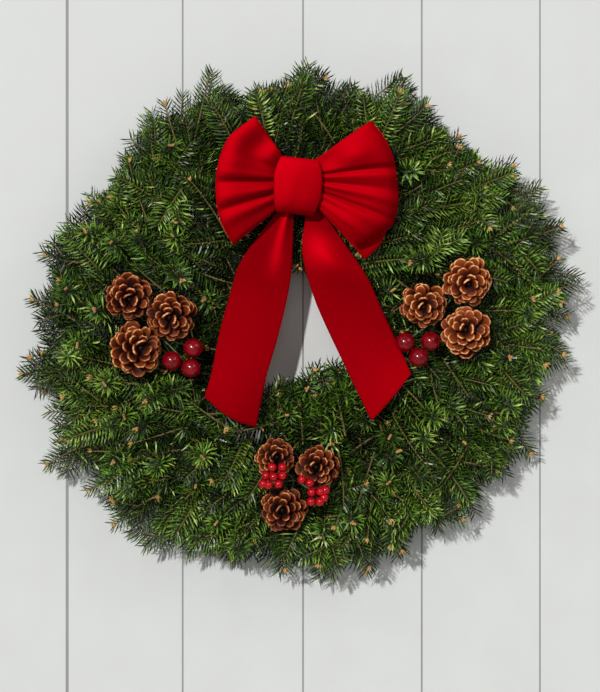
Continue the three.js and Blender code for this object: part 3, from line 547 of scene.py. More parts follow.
def pressed_depth(place):
    """Keeps shoots low where the bow, cones and berries press on the foliage."""
    flat = place[[0, 2]]
    presses = [(at, CONE_PRESS) for _, at, _, _, _ in CONES]
    presses += [(at, BERRY_PRESS) for _, at in BERRIES]
    if any(np.hypot(*(flat - at)) < reach for at, reach in presses):
        return max(place[1], CONE_SEAT_Y + PRESSED_IN)
    x, z = flat - KNOT[[0, 2]]
    under_bow = abs(x) < LOOPS_REACH and LOOPS_FOOT < z < LOOPS_TOP
    under_tails = abs(x - TAILS_MIDDLE) < TAILS_REACH and TAILS_FOOT < z <= LOOPS_FOOT
    return max(place[1], BOW_SEAT_Y + PRESSED_IN) if under_bow or under_tails else place[1]


def inside_outline(x, z, outline):
    """Whether points lie in a closed outline: a level line from each to its right crosses the
    outline an odd number of times."""
    result = np.zeros(len(x), bool)
    for (x0, z0), (x1, z1) in zip(outline, outline[1:] + outline[:1]):
        if z0 != z1:
            crossing = (x1 - x0) * (z - z0) / (z1 - z0) + x0
            result ^= ((z0 > z) != (z1 > z)) & (x < crossing)
    return result


# How much wider than its outline the bow's space is, and how far round cones and berries
BOW_ROOM = 1.04
ROOM = 1


def taken_space(points):
    """Whether points lie where the bow, a cone or a berry is."""
    x, y, z = points.T
    flat_x, flat_z = (x - KNOT[0]) / BOW_ROOM, (z - KNOT[2]) / BOW_ROOM
    bow = np.zeros(len(points), bool)
    for loop in (LEFT_LOOP, RIGHT_LOOP):
        bow |= inside_outline(flat_x, flat_z, loop["edge"] + [(0, -14), (0, 26)])
    for tail in (LEFT_TAIL, RIGHT_TAIL):
        bow |= inside_outline(flat_x, flat_z, tail["outer"] + tail["inner"][::-1])
    taken = bow & (y < BOW_SEAT_Y - 0.5)
    for _, at, width, _, _ in CONES:
        near = np.hypot(x - at[0], z - at[1]) < width / 2 + ROOM
        taken |= near & (y < CONE_SEAT_Y + 3)
    for _, at in BERRIES:
        distance = np.linalg.norm(points - [at[0], BERRY_Y, at[1]], axis=1)
        taken |= distance < BERRY_RADIUS + ROOM
    for at in BERRY_BUNCHES[0][2] + BERRY_BUNCHES[1][2]:
        near = np.hypot(x - at[0], z - at[1]) < SMALL_BERRY_RADIUS + ROOM
        taken |= near & (y < SMALL_BERRY_FOOT_Y - 6)
    return taken


# Foliage

# A bunch's main shoots: the root's and the tip's place across the sector, radius and depth
SHOOTS = [
    ((-0.25, 204, -34), (-0.58, 301, -22)),
    ((0.3, 202, -34), (0.5, 297, -36)),
    ((0, 198, -40), (-0.05, 268, -66)),
    ((0.1, 168, -44), (0.15, 142, -92)),
    ((-0.1, 158, -34), (-0.1, 78, -48)),
]
# The foliage's reach from the wreath's centre, every 5 degrees clockwise from the top
OUTLINE = [
    289, 283, 276, 267, 271, 294, 286, 266, 271, 273, 273, 292, 284, 303, 305, 288, 302, 293,
    280, 296, 276, 268, 276, 273, 280, 282, 268, 281, 276, 268, 254, 272, 266, 272, 270, 278,
    262, 257, 266, 267, 272, 273, 276, 280, 303, 293, 290, 264, 318, 297, 280, 278, 312, 288,
    279, 294, 275, 298, 284, 282, 275, 252, 270, 270, 280, 288, 262, 270, 284, 260, 263, 272,
]
# Where the outline's longest sprays end: degrees clockwise from the top, and reach
RIM_TIPS = [
    (2, 294), (12, 276), (22, 302), (30, 288), (40, 277), (54, 297), (60, 310), (69, 312), (80, 317),
    (88, 300), (98, 300), (107, 284), (119, 298), (126, 286), (137, 289), (146, 277), (157, 282),
    (165, 287), (176, 286), (185, 279), (196, 276), (206, 287), (215, 304), (223, 306), (232, 303),
    (241, 324), (251, 298), (260, 318), (269, 292), (276, 302), (286, 301), (294, 286), (302, 279),
    (314, 275), (325, 292), (333, 292), (341, 300), (350, 270),
]
# Long shoots that lie on top: the root's place, the tip's place, lightness, side shoots
FRONDS = [
    (2, -300, -6, -240, 0.42, 2), (24, -296, 16, -236, 0.46, 2), (48, -290, 36, -232, 0.40, 2),
    (62, -274, 54, -226, 0.48, 1), (-24, -292, -24, -246, 0.40, 1), (30, -272, 28, -234, 0.34, 1),
    (-119, 11, -97, 109, 0.50, 0), (-136, 26, -151, 75, 0.34, 0), (-160, -2, -170, 59, 0.42, 1),
    (-167, -59, -190, 12, 0.50, 2), (-116, -36, -99, 23, 0.58, 0), (-133, -33, -158, -75, 0.66, 1),
    (-200, -63, -226, -35, 0.42, 2), (-240, -107, -288, -99, 0.32, 2), (96, 45, 117, 102, 0.42, 0),
    (102, 34, 145, 70, 0.50, 1), (109, -8, 184, 20, 0.50, 2), (205, -12, 241, 3, 0.30, 0),
    (244, -44, 267, -20, 0.46, 0), (233, -84, 295, -65, 0.38, 1), (125, -53, 230, -36, 0.62, 0),
    (202, -43, 206, -9, 0.58, 0), (196, -52, 211, -77, 0.64, 0), (155, -52, 168, -12, 0.46, 0),
    (143, -103, 183, -77, 0.74, 1), (264, -121, 289, -98, 0.42, 0), (212, -116, 282, -135, 0.44, 1),
    (277, -138, 314, -130, 0.42, 0), (231, -160, 282, -151, 0.40, 1), (220, -172, 297, -212, 0.42, 0),
    (227, -241, 274, -257, 0.44, 1), (175, -234, 217, -244, 0.56, 0), (165, -271, 187, -295, 0.52, 0),
    (204, -293, 239, -305, 0.46, 1), (187, -328, 224, -338, 0.50, 1),
    (-253, -168, -301, -145, 0.34, 1), (-257, -182, -287, -183, 0.38, 0),
    (-260, -232, -312, -228, 0.38, 2), (-264, -236, -287, -253, 0.40, 0),
    (-229, -286, -277, -286, 0.40, 1), (-238, -310, -285, -333, 0.36, 1),
    (-200, -264, -246, -264, 0.42, 0), (-194, -316, -238, -314, 0.44, 0),
    (-59, -366, -95, -394, 0.46, 0), (-63, -397, -101, -418, 0.42, 0),
    (-58, -336, -103, -348, 0.38, 0), (-19, -407, -15, -453, 0.38, 1), (54, -371, 31, -461, 0.44, 1),
    (79, -348, 73, -419, 0.50, 2), (97, -377, 114, -432, 0.34, 0), (79, -412, 76, -450, 0.34, 0),
    (32, -360, 79, -346, 0.46, 0), (105, -364, 143, -392, 0.46, 1), (0, 50, 1, 113, 0.44, 2),
    (-42, 58, -55, 87, 0.38, 1), (50, 63, 66, 89, 0.40, 1), (-94, -28, -136, -12, 0.44, 0),
    (-165, -104, -180, -67, 0.40, 0), (-66, -418, -70, -441, 0.38, 0),
    (-165, -368, -200, -390, 0.42, 2), (-143, -396, -156, -426, 0.36, 1),
    (154, -385, 187, -390, 0.42, 1), (0, -254, 20, -219, 0.42, 0), (50, -258, 40, -221, 0.40, 0),
    (-16, -261, -9, -236, 0.38, 0), (3, -82, 1, -121, 0.20, 1), (-6, -84, -4, -117, 0.16, 1),
]
# Shoots that point at the viewer: place and lightness
STARS = [
    (-222, -160, 0.56), (-211, -240, 0.60), (-148, -226, 0.58), (-167, -258, 0.52), (-208, -286, 0.52),
    (-177, -288, 0.46), (-129, -289, 0.46), (-157, -330, 0.62), (-190, -356, 0.56), (-202, -324, 0.46),
    (-105, -319, 0.66), (-13, -274, 0.54), (34, -306, 0.60), (51, -252, 0.62), (97, -297, 0.46),
    (106, -312, 0.48), (167, -267, 0.56), (146, -277, 0.62), (226, -212, 0.48), (229, -265, 0.54),
    (132, -344, 0.50), (99, -322, 0.44), (-105, -148, 0.52), (-176, -82, 0.46), (-204, -88, 0.50),
    (-82, -280, 0.48), (-42, -289, 0.46), (101, -138, 0.50), (105, -107, 0.48), (72, -280, 0.44),
    (57, -390, 0.54), (-66, -418, 0.44), (-130, -170, 0.46), (-240, -198, 0.44), (-253, -138, 0.42),
    (55, -336, 0.46), (8, -246, 0.46), (26, -240, 0.50), (42, -231, 0.46), (-10, -253, 0.44),
]
# The hole's edge in the same way, every 30 degrees
HOLE_EDGE = [54, 60, 70, 68, 60, 50, 50, 62, 70, 70, 64, 58]
# Needles for each mm of a twig, the least on one, and the few painted pale as glints
NEEDLES_PER_MM = 0.98
LEAST_NEEDLES = 14
PAINTED_GLINT_SHARE = 0.02
PAINTED_GLINT_TONE = 0.86
# The lean of a needle at its twig's foot in degrees, and how much it varies
FOOT_LEAN = 66
LEAN_SPREAD = 5
# How far along its twig the first needle stands, and how far back the second of a pair
FIRST_NEEDLE = 0.04
PAIR_BACK = 0.6
# How much lighter the upper rank is painted, as light, how much darker the lower one, as shade, and the
# upper one's length
UPPER_PAINTED_LIGHT, LOWER_PAINTED_SHADE = 0.13, 0.16
UPPER_LENGTH = 0.86
# How far a twig may bow to the viewer and aside, as shares of its span
BOW_FORWARD = (-0.03, 0.08)
BOW_ASIDE = (-0.08, 0.08)
# A twig's radius at its foot and its tip
TWIG_RADII = (0.9, 0.5)
# The corners of a needle's triangles
FULL_NEEDLE = np.array([
    [0, 1, 4], [0, 4, 3], [1, 2, 5], [1, 5, 4], [2, 0, 3], [2, 3, 5], [3, 4, 6], [4, 5, 6], [5, 3, 6],
])
PLAIN_NEEDLE = np.array([[0, 1, 2], [0, 2, 3], [0, 3, 1], [1, 4, 2], [2, 4, 3], [3, 4, 1]])
TO_VIEWER = np.array([0.0, -1.0, 0.0])
# The places of a bunch's materials after its needles
TWIG, BUD = 1, 2
# The buds' places from their twig's tip, across and out, and the radii along one
BUD_SPOTS = [(0, 0), (2.2, 0.4), (-2.2, -0.3), (0.3, 2.1)]
BUD_RADII = [0.8, 1.65, 0.3]
# The furthest that foliage stands forward
FOLIAGE_FRONT_Y = -96.0
# The main shoot that points at the viewer
STAR_SHOOT = 3
FOLIAGE_SEED, CONE_SEED, BERRY_SEED = 4200, 700, 31


def draws(seed):
    """Numbers from 0 to 1, the same ones that the part's source draws."""
    state = seed
    while True:
        state = (state * 1664525 + 1013904223) % 4294967296
        yield state / 4294967296


def bezier(start, middle, end, share):
    """Points and directions on a curve that is the square blend of three points: the start
    times the square of what is left, twice the middle times what is left times the share, and
    the end times the square of the share."""
    share = np.asarray(share)[:, None]
    place = (1 - share) ** 2 * start + 2 * share * (1 - share) * middle + share ** 2 * end
    slope = 2 * (1 - share) * (middle - start) + 2 * share * (end - middle)
    return place, unit(slope)


def needles(foot, direction, normal, length, width, tone, full):
    """Closed flat needles. Each is widest 0.64 of its length along its direction and 0.02 below
    it, with half its width to each side and 0.3 of it under the middle, and its tip is bent up
    by 0.06 of its length. A full one has three points at its foot and a plain one has one. The
    foot and the underside are painted darker as shade, and the tip lightest as painted light."""
    side = unit(np.cross(direction, normal))
    normal = np.cross(side, direction)
    half, thick = (width / 2)[:, None], (width * 0.3)[:, None]
    reach = length[:, None]
    middle = foot + direction * reach * 0.64 - normal * reach * 0.02
    ring = [middle - side * half, middle + side * half, middle - normal * thick]
    tip = foot + direction * reach + normal * reach * 0.06
    # Painted shade at the foot and the underside, painted light at the tip
    if full:
        base = [foot - side * half * 0.65, foot + side * half * 0.65, foot - normal * thick]
        points = np.stack(base + ring + [tip], 1)
        shade = np.array([-0.4, -0.4, -0.45, 0.05, 0.05, -0.08, 0.2])
        faces = FULL_NEEDLE
    else:
        points = np.stack([foot] + ring + [tip], 1)
        shade = np.array([-0.4, 0.03, 0.03, -0.08, 0.16])
        faces = PLAIN_NEEDLE
    count, corners = points.shape[:2]
    triangles = (faces[None] + corners * np.arange(count)[:, None, None]).reshape(-1, 3)
    values = (tone[:, None] + shade).ravel()
    return points.reshape(-1, 3), triangles, np.zeros(len(triangles), int), values


def shoot(start, end, tone, random, facing=TO_VIEWER, comb=0.8, open_tip=36, full=True, bud=0.2):
    """A twig on a bowed curve with its needles, and buds at its tip. The needles leave it to
    the left and right in turn, in two ranks a side: a longer one level with the twig, painted
    darker as shade, and a shorter one comb radians above it, painted lighter as light. Without
    a comb they go round the twig in a golden spiral. A needle's direction is the twig's own
    times the cosine of its lean plus the way out times its sine. The lean falls from FOOT_LEAN to
    open_tip with the cube of the share along the twig, and the length falls by 0.35 of its fifth power."""
    span = np.linalg.norm(end - start)
    across = unit(np.cross(end - start, facing))
    middle = (start + end) / 2 + facing * span * random.uniform(*BOW_FORWARD)
    middle = middle + across * span * random.uniform(*BOW_ASIDE)
    count = max(LEAST_NEEDLES, int(NEEDLES_PER_MM * span))
    order = np.arange(count)
    share = FIRST_NEEDLE + (1 - FIRST_NEEDLE) * (order - order % 2 * PAIR_BACK) / (count - 1)
    centre, tangent = bezier(start, middle, end, share)
    side = unit(np.cross(tangent, facing))
    up = np.cross(side, tangent)
    shade = tone + random.uniform(-0.08, 0.08, count)
    length = NEEDLE_LENGTH * (1 - 0.35 * share ** 5) * random.uniform(0.88, 1.05, count)
    if comb:
        upper = order // 2 % 2
        above = comb * upper - 0.1 + random.normal(0, 0.09, count)
        turn = np.where(order % 2, above, math.pi - above)
        # Painted light on the upper rank and painted shade on the lower one
        shade += np.where(upper, UPPER_PAINTED_LIGHT, -LOWER_PAINTED_SHADE)
        length *= np.where(upper, UPPER_LENGTH, 1.0)
    else:
        turn = GOLDEN_TURN * order
    radial = side * np.cos(turn)[:, None] + up * np.sin(turn)[:, None]
    lean = FOOT_LEAN - (FOOT_LEAN - open_tip) * share ** 3
    lean = np.radians(lean + random.uniform(-LEAN_SPREAD, LEAN_SPREAD, count))[:, None]
    direction = unit(tangent * np.cos(lean) + radial * np.sin(lean))
    normal = unit(0.75 * tangent + 0.65 * up + random.normal(0, 0.14, (count, 3)))
    width = NEEDLE_WIDTH * random.uniform(0.85, 1.15, count)
    # A few needles are painted pale as glints
    shade[random.random(count) < PAINTED_GLINT_SHARE] = PAINTED_GLINT_TONE
    free = ~(taken_space(centre + direction * length[:, None])
             | taken_space(centre + direction * length[:, None] * 0.5))
    parts = (centre, direction, normal, length, width, shade)
    shapes = [needles(*(part[free] for part in parts), full)]
    line, _ = bezier(start, middle, end, np.linspace(0, 1, 5))
    if not taken_space(line).any():
        thickness = np.linspace(*TWIG_RADII, 5) * min(1.3, 0.7 + span / 150)
        shapes.append(plain(*tube(line, thickness, 4), kind=TWIG))
        if random.random() < bud:
            shapes += buds(end, tangent[-1], side[-1], up[-1], random)
    return shapes


def buds(tip, forward, side, up, random):
    """Two to four short buds in a cluster at a twig's tip. Each is a tube of three rings, wide
    in the middle, that leans out from the twig's line."""
    shapes = []
    for across, out in BUD_SPOTS[:random.integers(2, 5)]:
        sideways = side * across + up * out
        foot = tip + sideways * 0.6 - forward * 1.2
        peak = foot + forward * random.uniform(4.4, 6.2) + sideways * 0.8
        shapes.append(plain(*tube(np.linspace(foot, peak, 3), BUD_RADII, 5), kind=BUD))
    return shapes


# How far along a spray its side shoots leave it, their angle to it, and the shortest
FIRST_SIDE, LAST_SIDE = 0.12, 0.78
SIDE_ANGLE = (32, 52)
SHORTEST_SIDE = 30


def spray(start, end, tone, random, sides=5, full=True):
    """A leading shoot with side shoots in turn to its left and right. Their length is 0.62 of
    its own less 0.4 of the share along it."""
    shapes = shoot(start, end, tone, random, full=full, bud=0.35)
    axis = unit(end - start)
    across = unit(np.cross(axis, TO_VIEWER))
    span = np.linalg.norm(end - start)
    for i in range(sides):
        share = FIRST_SIDE + (LAST_SIDE - FIRST_SIDE) * i / max(1, sides - 1)
        hand = 1 if i % 2 else -1
        angle = math.radians(random.uniform(*SIDE_ANGLE))
        heading = axis * math.cos(angle) + across * hand * math.sin(angle)
        heading = unit(heading + TO_VIEWER * random.uniform(-0.1, 0.4))
        length = max(SHORTEST_SIDE, span * (0.62 - 0.4 * share)) * random.uniform(0.85, 1.1)
        foot = start + (end - start) * share
        tip = held_in(foot + heading * length)
        shapes += shoot(foot, tip, tone + random.uniform(-0.1, 0.1), random, full=full)
    return shapes


def reach_at(clock, table):
    """A reach at a clock angle, by straight steps between the values of a table."""
    degrees = np.arange(len(table)) * 360 / len(table)
    return float(np.interp(math.degrees(clock) % 360, degrees, table, period=360))


def held_in(place, margin=8):
    """Keeps a shoot's tip inside the outline, out of the hole and below what lies on it."""
    clock = math.atan2(place[0], place[2] - CENTRE_Z)
    radius = math.hypot(place[0], place[2] - CENTRE_Z)
    outer = reach_at(clock, OUTLINE) - margin
    inner = reach_at(clock, HOLE_EDGE) + margin
    held = polar(clock, min(max(radius, inner), outer), max(place[1], FOLIAGE_FRONT_Y))
    held[1] = pressed_depth(held)
    return held


# The foliage's usual lightness, and the painted light added in a pool where the light falls, at the rim,
# and near the viewer, which turns to painted shade further back
FOLIAGE_TONE = 0.285
PAINTED_POOL_LIGHT, PAINTED_RIM_LIGHT, PAINTED_DEPTH_LIGHT = 0.03, 0.2, 0.36


def tone_at(place, random):
    """How light the foliage is: painted light in a bell to the right above the middle, at the rim
    and near the viewer, and painted shade behind."""
    right_above = math.exp(-((place[0] - 175) / 110) ** 2 - ((place[2] + 70) / 90) ** 2)
    nearness = np.clip((-place[1] - 55) / 50, -0.35, 0.5)
    rim = np.clip((math.hypot(place[0], place[2] - CENTRE_Z) - 235) / 45, 0, 1)
    # Painted light in a pool, at the rim and near the viewer, and painted shade deeper in the foliage
    tone = FOLIAGE_TONE + PAINTED_POOL_LIGHT * right_above + PAINTED_RIM_LIGHT * rim + PAINTED_DEPTH_LIGHT * nearness
    return tone + random.uniform(-0.13, 0.13)


def leading_sprays(k, random):
    """The bunch's five main shoots, where the part's own are, with side shoots."""
    draw = draws(1000 + 37 * k)
    shapes = []
    for index, (root, (across, radius, depth)) in enumerate(SHOOTS):
        start = in_sector(k, *root)
        across += 0.16 * (next(draw) - 0.5)
        end = in_sector(k, across, radius + 14 * (next(draw) - 0.5), depth)
        end[1] += 12 * (next(draw) - 0.5)
        # The source's fourth draw turns a shoot's needles about it, which isn't needed here
        next(draw)
        end = held_in(end)
        tone = tone_at(end, random)
        if index == STAR_SHOOT:
            shapes += star(start, end, tone, random)
        else:
            shapes += spray(start, end, tone, random, 4 if index < STAR_SHOOT else 2)
    return shapes


def star(start, end, tone, random):
    """A shoot that points at the viewer, so that its needles open like a star."""
    facing = unit(np.cross(end - start, [random.uniform(-1, 1), 0.1, random.uniform(-1, 1)]))
    return shoot(start, end, tone + 0.1, random, facing, comb=0, open_tip=58, bud=0.6)


def owner(x, z):
    """Which bunch a place belongs to, by its clock angle with the sweep taken off."""
    clock = math.atan2(x, z - CENTRE_Z)
    radius = math.hypot(x, z - CENTRE_Z)
    return int((clock - math.tan(SWEEP) * math.log(radius / RING_RADIUS)) / CELL % BUNCHES)


# The depth of the long shoots' roots and tips, and how far the tips sink at the rim
FROND_ROOT_Y, FROND_TIP_Y = -64.0, -88
FROND_SINK = 34


def top_fronds(k, random):
    """The long shoots on top. Their tips sink from 205 mm to 285 mm out. Each is drawn 8 mm
    longer at its root and 9 mm shorter at its tip than its places, because its needles reach
    past it."""
    shapes = []
    for root_x, root_z, tip_x, tip_z, tone, sides in FRONDS:
        if owner((root_x + tip_x) / 2, (root_z + tip_z) / 2) != k:
            continue
        reach = math.hypot(tip_x, tip_z - CENTRE_Z)
        tip_y = FROND_TIP_Y + FROND_SINK * np.clip((reach - 205) / 80, 0, 1) + random.uniform(-3, 3)
        start, end = np.array([root_x, FROND_ROOT_Y, root_z]), np.array([tip_x, tip_y, tip_z])
        start -= unit(end - start) * 8
        end -= unit(end - start) * 9
        start[1], end[1] = pressed_depth(start), pressed_depth(end)
        tone += random.uniform(-0.05, 0.01)
        shapes += shoot(start, end, tone, random, bud=0.5)
        axis = unit(end - start)
        across = unit(np.cross(axis, TO_VIEWER))
        for i in range(sides):
            heading = unit(axis * 0.75 + across * (1 if i else -1) * 0.65 + TO_VIEWER * 0.1)
            foot = start + (end - start) * (0.3 + 0.2 * i)
            tip = foot + heading * np.linalg.norm(end - start) * 0.5
            tip[1] = pressed_depth(tip)
            shapes += shoot(foot, tip, tone - 0.04, random, comb=0.6)
    return shapes


STAR_LENGTH = 44
PRESSED_STAR_Y = -60.0


def top_stars(k, random):
    """The shoots on top that point at the viewer, from a root further in."""
    shapes = []
    for x, z, tone in STARS:
        if owner(x, z) != k:
            continue
        outward = unit(np.array([x, 0, z - CENTRE_Z]))
        end = np.array([x, FOLIAGE_FRONT_Y, z])
        if pressed_depth(end) != end[1]:
            end[1] = PRESSED_STAR_Y
        start = end - unit(TO_VIEWER + outward * random.uniform(0.1, 0.6)) * STAR_LENGTH
        shapes += star(start, end, tone - 0.1, random)
    return shapes


def rim_sprays(k, random):
    """Sprays whose tips are the outline's longest."""
    shapes = []
    for degrees, reach in RIM_TIPS:
        clock = math.radians(degrees)
        if owner(reach * math.sin(clock), CENTRE_Z + reach * math.cos(clock)) != k:
            continue
        depth = random.uniform(-44, -24)
        end = polar(clock, reach - 5, depth)
        start = polar(clock - random.uniform(0.08, 0.2), reach - 82, depth - 8)
        shapes += spray(start, end, tone_at(end, random), random, 4)
    return shapes


# Where the layers' shoots have their middles, and how far out all or half of them point
# inwards; the shortest shoot, and the rise that makes a star
INNER_SHOOTS, OUTER_SHOOTS = 92, 252
ALL_INWARDS, HALF_INWARDS = 108, 150
SHORTEST_SHOOT = 18
STAR_RISE = 60
# Each layer's shoots: how many, the depth of their middles, how much they rise in degrees, their
# lengths, and whether their needles are full
LAYERS = [
    {"count": 18, "depth": (-32, -16), "rise": (0, 12), "length": (78, 96), "full": False},
    {"count": 16, "depth": (-52, -38), "rise": (4, 26), "length": (68, 86), "full": False},
    {"count": 14, "depth": (-68, -54), "rise": (6, 36), "length": (60, 80), "full": True},
    {"count": 4, "depth": (-68, -58), "rise": (60, 86), "length": (34, 46), "full": True},
]


def heading_at(clock, radius, random):
    """Which way a shoot points: outwards and swept, or inwards near the hole, each within a
    normal spread of 26 or 28 degrees."""
    if radius < ALL_INWARDS or (radius < HALF_INWARDS and random.random() < 0.5):
        return clock + math.pi - SWEEP + math.radians(random.normal(0, 28))
    return clock + SWEEP + math.radians(random.normal(0, 26))


def layered_shoots(k, random):
    """Shoots spread evenly over the bunch's sector in each layer. One after the other, their
    places go round by the golden share and out by equal areas."""
    shapes = []
    for index, layer in enumerate(LAYERS):
        for i in range(layer["count"]):
            across = 2 * ((GOLDEN_SHARE * i + 0.29 * index + 0.13 * k) % 1) - 1
            share = (i + random.uniform(0.2, 0.8)) / layer["count"]
            radius = math.sqrt(INNER_SHOOTS ** 2 + (OUTER_SHOOTS ** 2 - INNER_SHOOTS ** 2) * share)
            centre = in_sector(k, across, radius, random.uniform(*layer["depth"]))
            clock = math.atan2(centre[0], centre[2] - CENTRE_Z)
            turn = heading_at(clock, radius, random)
            rise = math.radians(random.uniform(*layer["rise"]))
            heading = np.array([math.sin(turn), 0, math.cos(turn)]) * math.cos(rise)
            heading += TO_VIEWER * math.sin(rise)
            half = random.uniform(*layer["length"]) / 2
            start, end = held_in(centre - heading * half), held_in(centre + heading * half)
            start[1] = min(-12, max(start[1], end[1] + 4))
            if np.linalg.norm(end - start) < SHORTEST_SHOOT:
                continue
            tone = tone_at(end, random)
            if layer["rise"][0] >= STAR_RISE:
                shapes += star(start, end, tone, random)
            else:
                comb = random.uniform(0.8, 1.5)
                shapes += shoot(start, end, tone, random, comb=comb, full=layer["full"])
    return shapes


# The stems' places from the ring: out from its wire, and depth
STEMS = [(-4, -7), (0, -5.4), (4, -7), (-2.2, -11), (2.2, -11.2)]
STEM_RADIUS = 2.1


def stem_bundle(k):
    """The cut stems of a bunch, laid side by side along the ring under the winding wire, each a
    tube along an arc, and the short neck where they leave it."""
    clocks = (k + 0.5 + np.linspace(-0.42, 0.42, 6)) * CELL
    lines = [polar(clocks, RING_RADIUS + out, depth) for out, depth in STEMS]
    shapes = [plain(*tube(line, STEM_RADIUS, 6), kind=TWIG) for line in lines]
    rise = np.array([0, 2, 5])
    neck = polar((k + 0.5) * CELL, RING_RADIUS + rise, -10 - 5 * rise)
    return shapes + [plain(*tube(neck, [3.2, 3.6, 3.0], 6), kind=TWIG)]


def foliage(k):
    """All of one bunch. The order of the calls keeps the order of its random draws."""
    random = np.random.default_rng(FOLIAGE_SEED + k)
    shapes = leading_sprays(k, random) + rim_sprays(k, random) + layered_shoots(k, random)
    return join(shapes + top_fronds(k, random) + top_stars(k, random) + stem_bundle(k))


# Cones

CONE_SCALES = 36
# Each scale's rows of points, from its root to its tip
SCALE_ALONG = np.array([0, 0.34, 0.6, 0.8, 0.92, 0.975, 1.0])
SCALE_COLUMNS = 7
# The core's rings, its radius as a share of the cone's width, and its lightness, painted near black as
# shade deep in the cone
CORE_RINGS = 8
CORE_SHARE = 0.12
CORE_PAINTED_SHADE = 0.05


def scale_grid(width, share, turn, shade, random):
    """One open scale as a grid of points. It leaves the core, goes outwards and curls up to
    its tip on a square blend of three points. Its tip lies on the cone's outline: half the
    width times the root of 1 less a square. Its half width grows with a quarter of a sine and
    closes at its round end by the root of 1 less a power. It is cupped by a power of the
    distance across, twisted by a share of it, and thickest near its end."""
    height = width * CONE_HEIGHT_SHARE
    outline = math.sqrt(max(0.02, 1 - ((share - 0.16) / 0.86) ** 2)) * random.uniform(0.86, 1.04)
    tip = np.array([width * 0.5 * outline, height * (0.22 + 0.74 * share)])
    rise = height * (0.08 + 0.14 * share + random.uniform(-0.08, 0.08))
    root = np.array([width * 0.07 * (1 - 0.6 * share), tip[1] - rise])
    place, _ = bezier(root, root + 0.55 * (tip - root), tip, SCALE_ALONG)
    across = np.linspace(-1, 1, SCALE_COLUMNS)[None, :]
    along = SCALE_ALONG[:, None]
    half = width * (0.15 - 0.055 * share) * random.uniform(0.8, 1.1)
    half = half * (0.35 + 0.65 * np.sin(np.minimum(along * 1.25, 1) * math.pi / 2))
    half = half * np.sqrt(1 - 0.88 * np.clip((along - 0.66) / 0.34, 0, 1) ** 2.4)
    cup = (0.3 * np.abs(across) ** 2.4 + 0.22 * along ** 6) * half
    twist = half * across * random.uniform(-0.55, 0.55)
    out, up = place[:, :1] - cup * 0.4, place[:, 1:] + cup + twist
    grid = np.stack(np.broadcast_arrays(
        out * math.cos(turn) - half * across * math.sin(turn),
        out * math.sin(turn) + half * across * math.cos(turn),
        up,
    ), -1)
    thickness = (1.0 + 0.8 * along ** 2) * width / 52
    # The rim values: painted shade at the root, rising to the pale rim at the end and sides, which is
    # partly the worn edge and partly painted light
    rim = np.maximum(0.6 * along ** 1.6, along ** 22) + 0 * across
    rim = np.maximum(rim, 0.85 * along ** 2 * np.abs(across) ** 8)
    return grid, thickness, rim + shade + random.uniform(-0.14, 0.1)


def cone_shape(width, shade, random):
    """Scales round a slim core, each a golden turn on from the last. Their share of the way from
    the foot to the tip is a power of their number, and the core's radius a part of a sine."""
    height = width * CONE_HEIGHT_SHARE
    shapes = []
    for i in range(CONE_SCALES):
        share = (i / (CONE_SCALES - 1)) ** 0.85
        turn = GOLDEN_TURN * i + random.uniform(-0.26, 0.26)
        grid, thickness, rim = scale_grid(width, share, turn, shade, random)
        points, triangles = sheet(grid, thickness)
        values = np.concatenate([rim.ravel(), rim.ravel()])
        shapes.append((points, triangles, np.zeros(len(triangles), int), values))
    levels = np.linspace(0.5, height * 0.84, CORE_RINGS)
    core = np.stack([0 * levels, 0 * levels, levels], 1)
    radius = width * CORE_SHARE * np.sin(np.linspace(0.5, math.pi - 0.25, CORE_RINGS))
    shapes.append(plain(*tube(core, radius, 10), value=CORE_PAINTED_SHADE))
    return join(shapes)


def turned(points, before, direction):
    """Points turned by the shortest way that brings what pointed along before to point along
    the direction."""
    turn = Vector(before).rotation_difference(Vector(direction)).to_matrix()
    return points @ np.array(turn).T


def build_cones():
    """Each cone is made upright, tilted to where its tip points, and seated on the foliage."""
    for index, (name, at, width, tilt, shade) in enumerate(CONES):
        random = np.random.default_rng(CONE_SEED + index)
        points, triangles, kinds, values = cone_shape(width, shade, random)
        axis = unit(np.array([tilt[0], -1.0, tilt[1]]))
        half = width * CONE_HEIGHT_SHARE / 2
        base = np.array([at[0] - tilt[0] * half, CONE_SEAT_Y, at[1] - tilt[1] * half])
        shape = turned(points, (0, 0, 1), axis) + base, triangles, kinds, values
        piece(f"{name}_scales", shape, ["cone"], name, value_name="rim")


# Berries

STALK_RADIUS = 0.8
STALK_KNOT_RADIUS = 2.4
# The place of the stalks' material after the small berries'
STALK = 1


def berry(centre, radius, random, around=24, rows=16):
    """A ball times 1 plus a slight sine of the place on it, less a narrow bell at one pole,
    which is the dimple in its end."""
    points, triangles = ball(around, rows)
    x, y, z = points.T
    uneven = 1 + 0.015 * np.sin(3 * x + 2 * z + random.uniform(0, 6))
    dimple = 1 - 0.08 * np.exp(-((y + 1) / 0.04) ** 2)
    end = unit(np.array([random.uniform(-1, 1), 0.6, random.uniform(-1, 1)]))
    body = turned(points * (uneven * dimple)[:, None], (0, 1, 0), end) * radius + centre
    return plain(body, triangles)


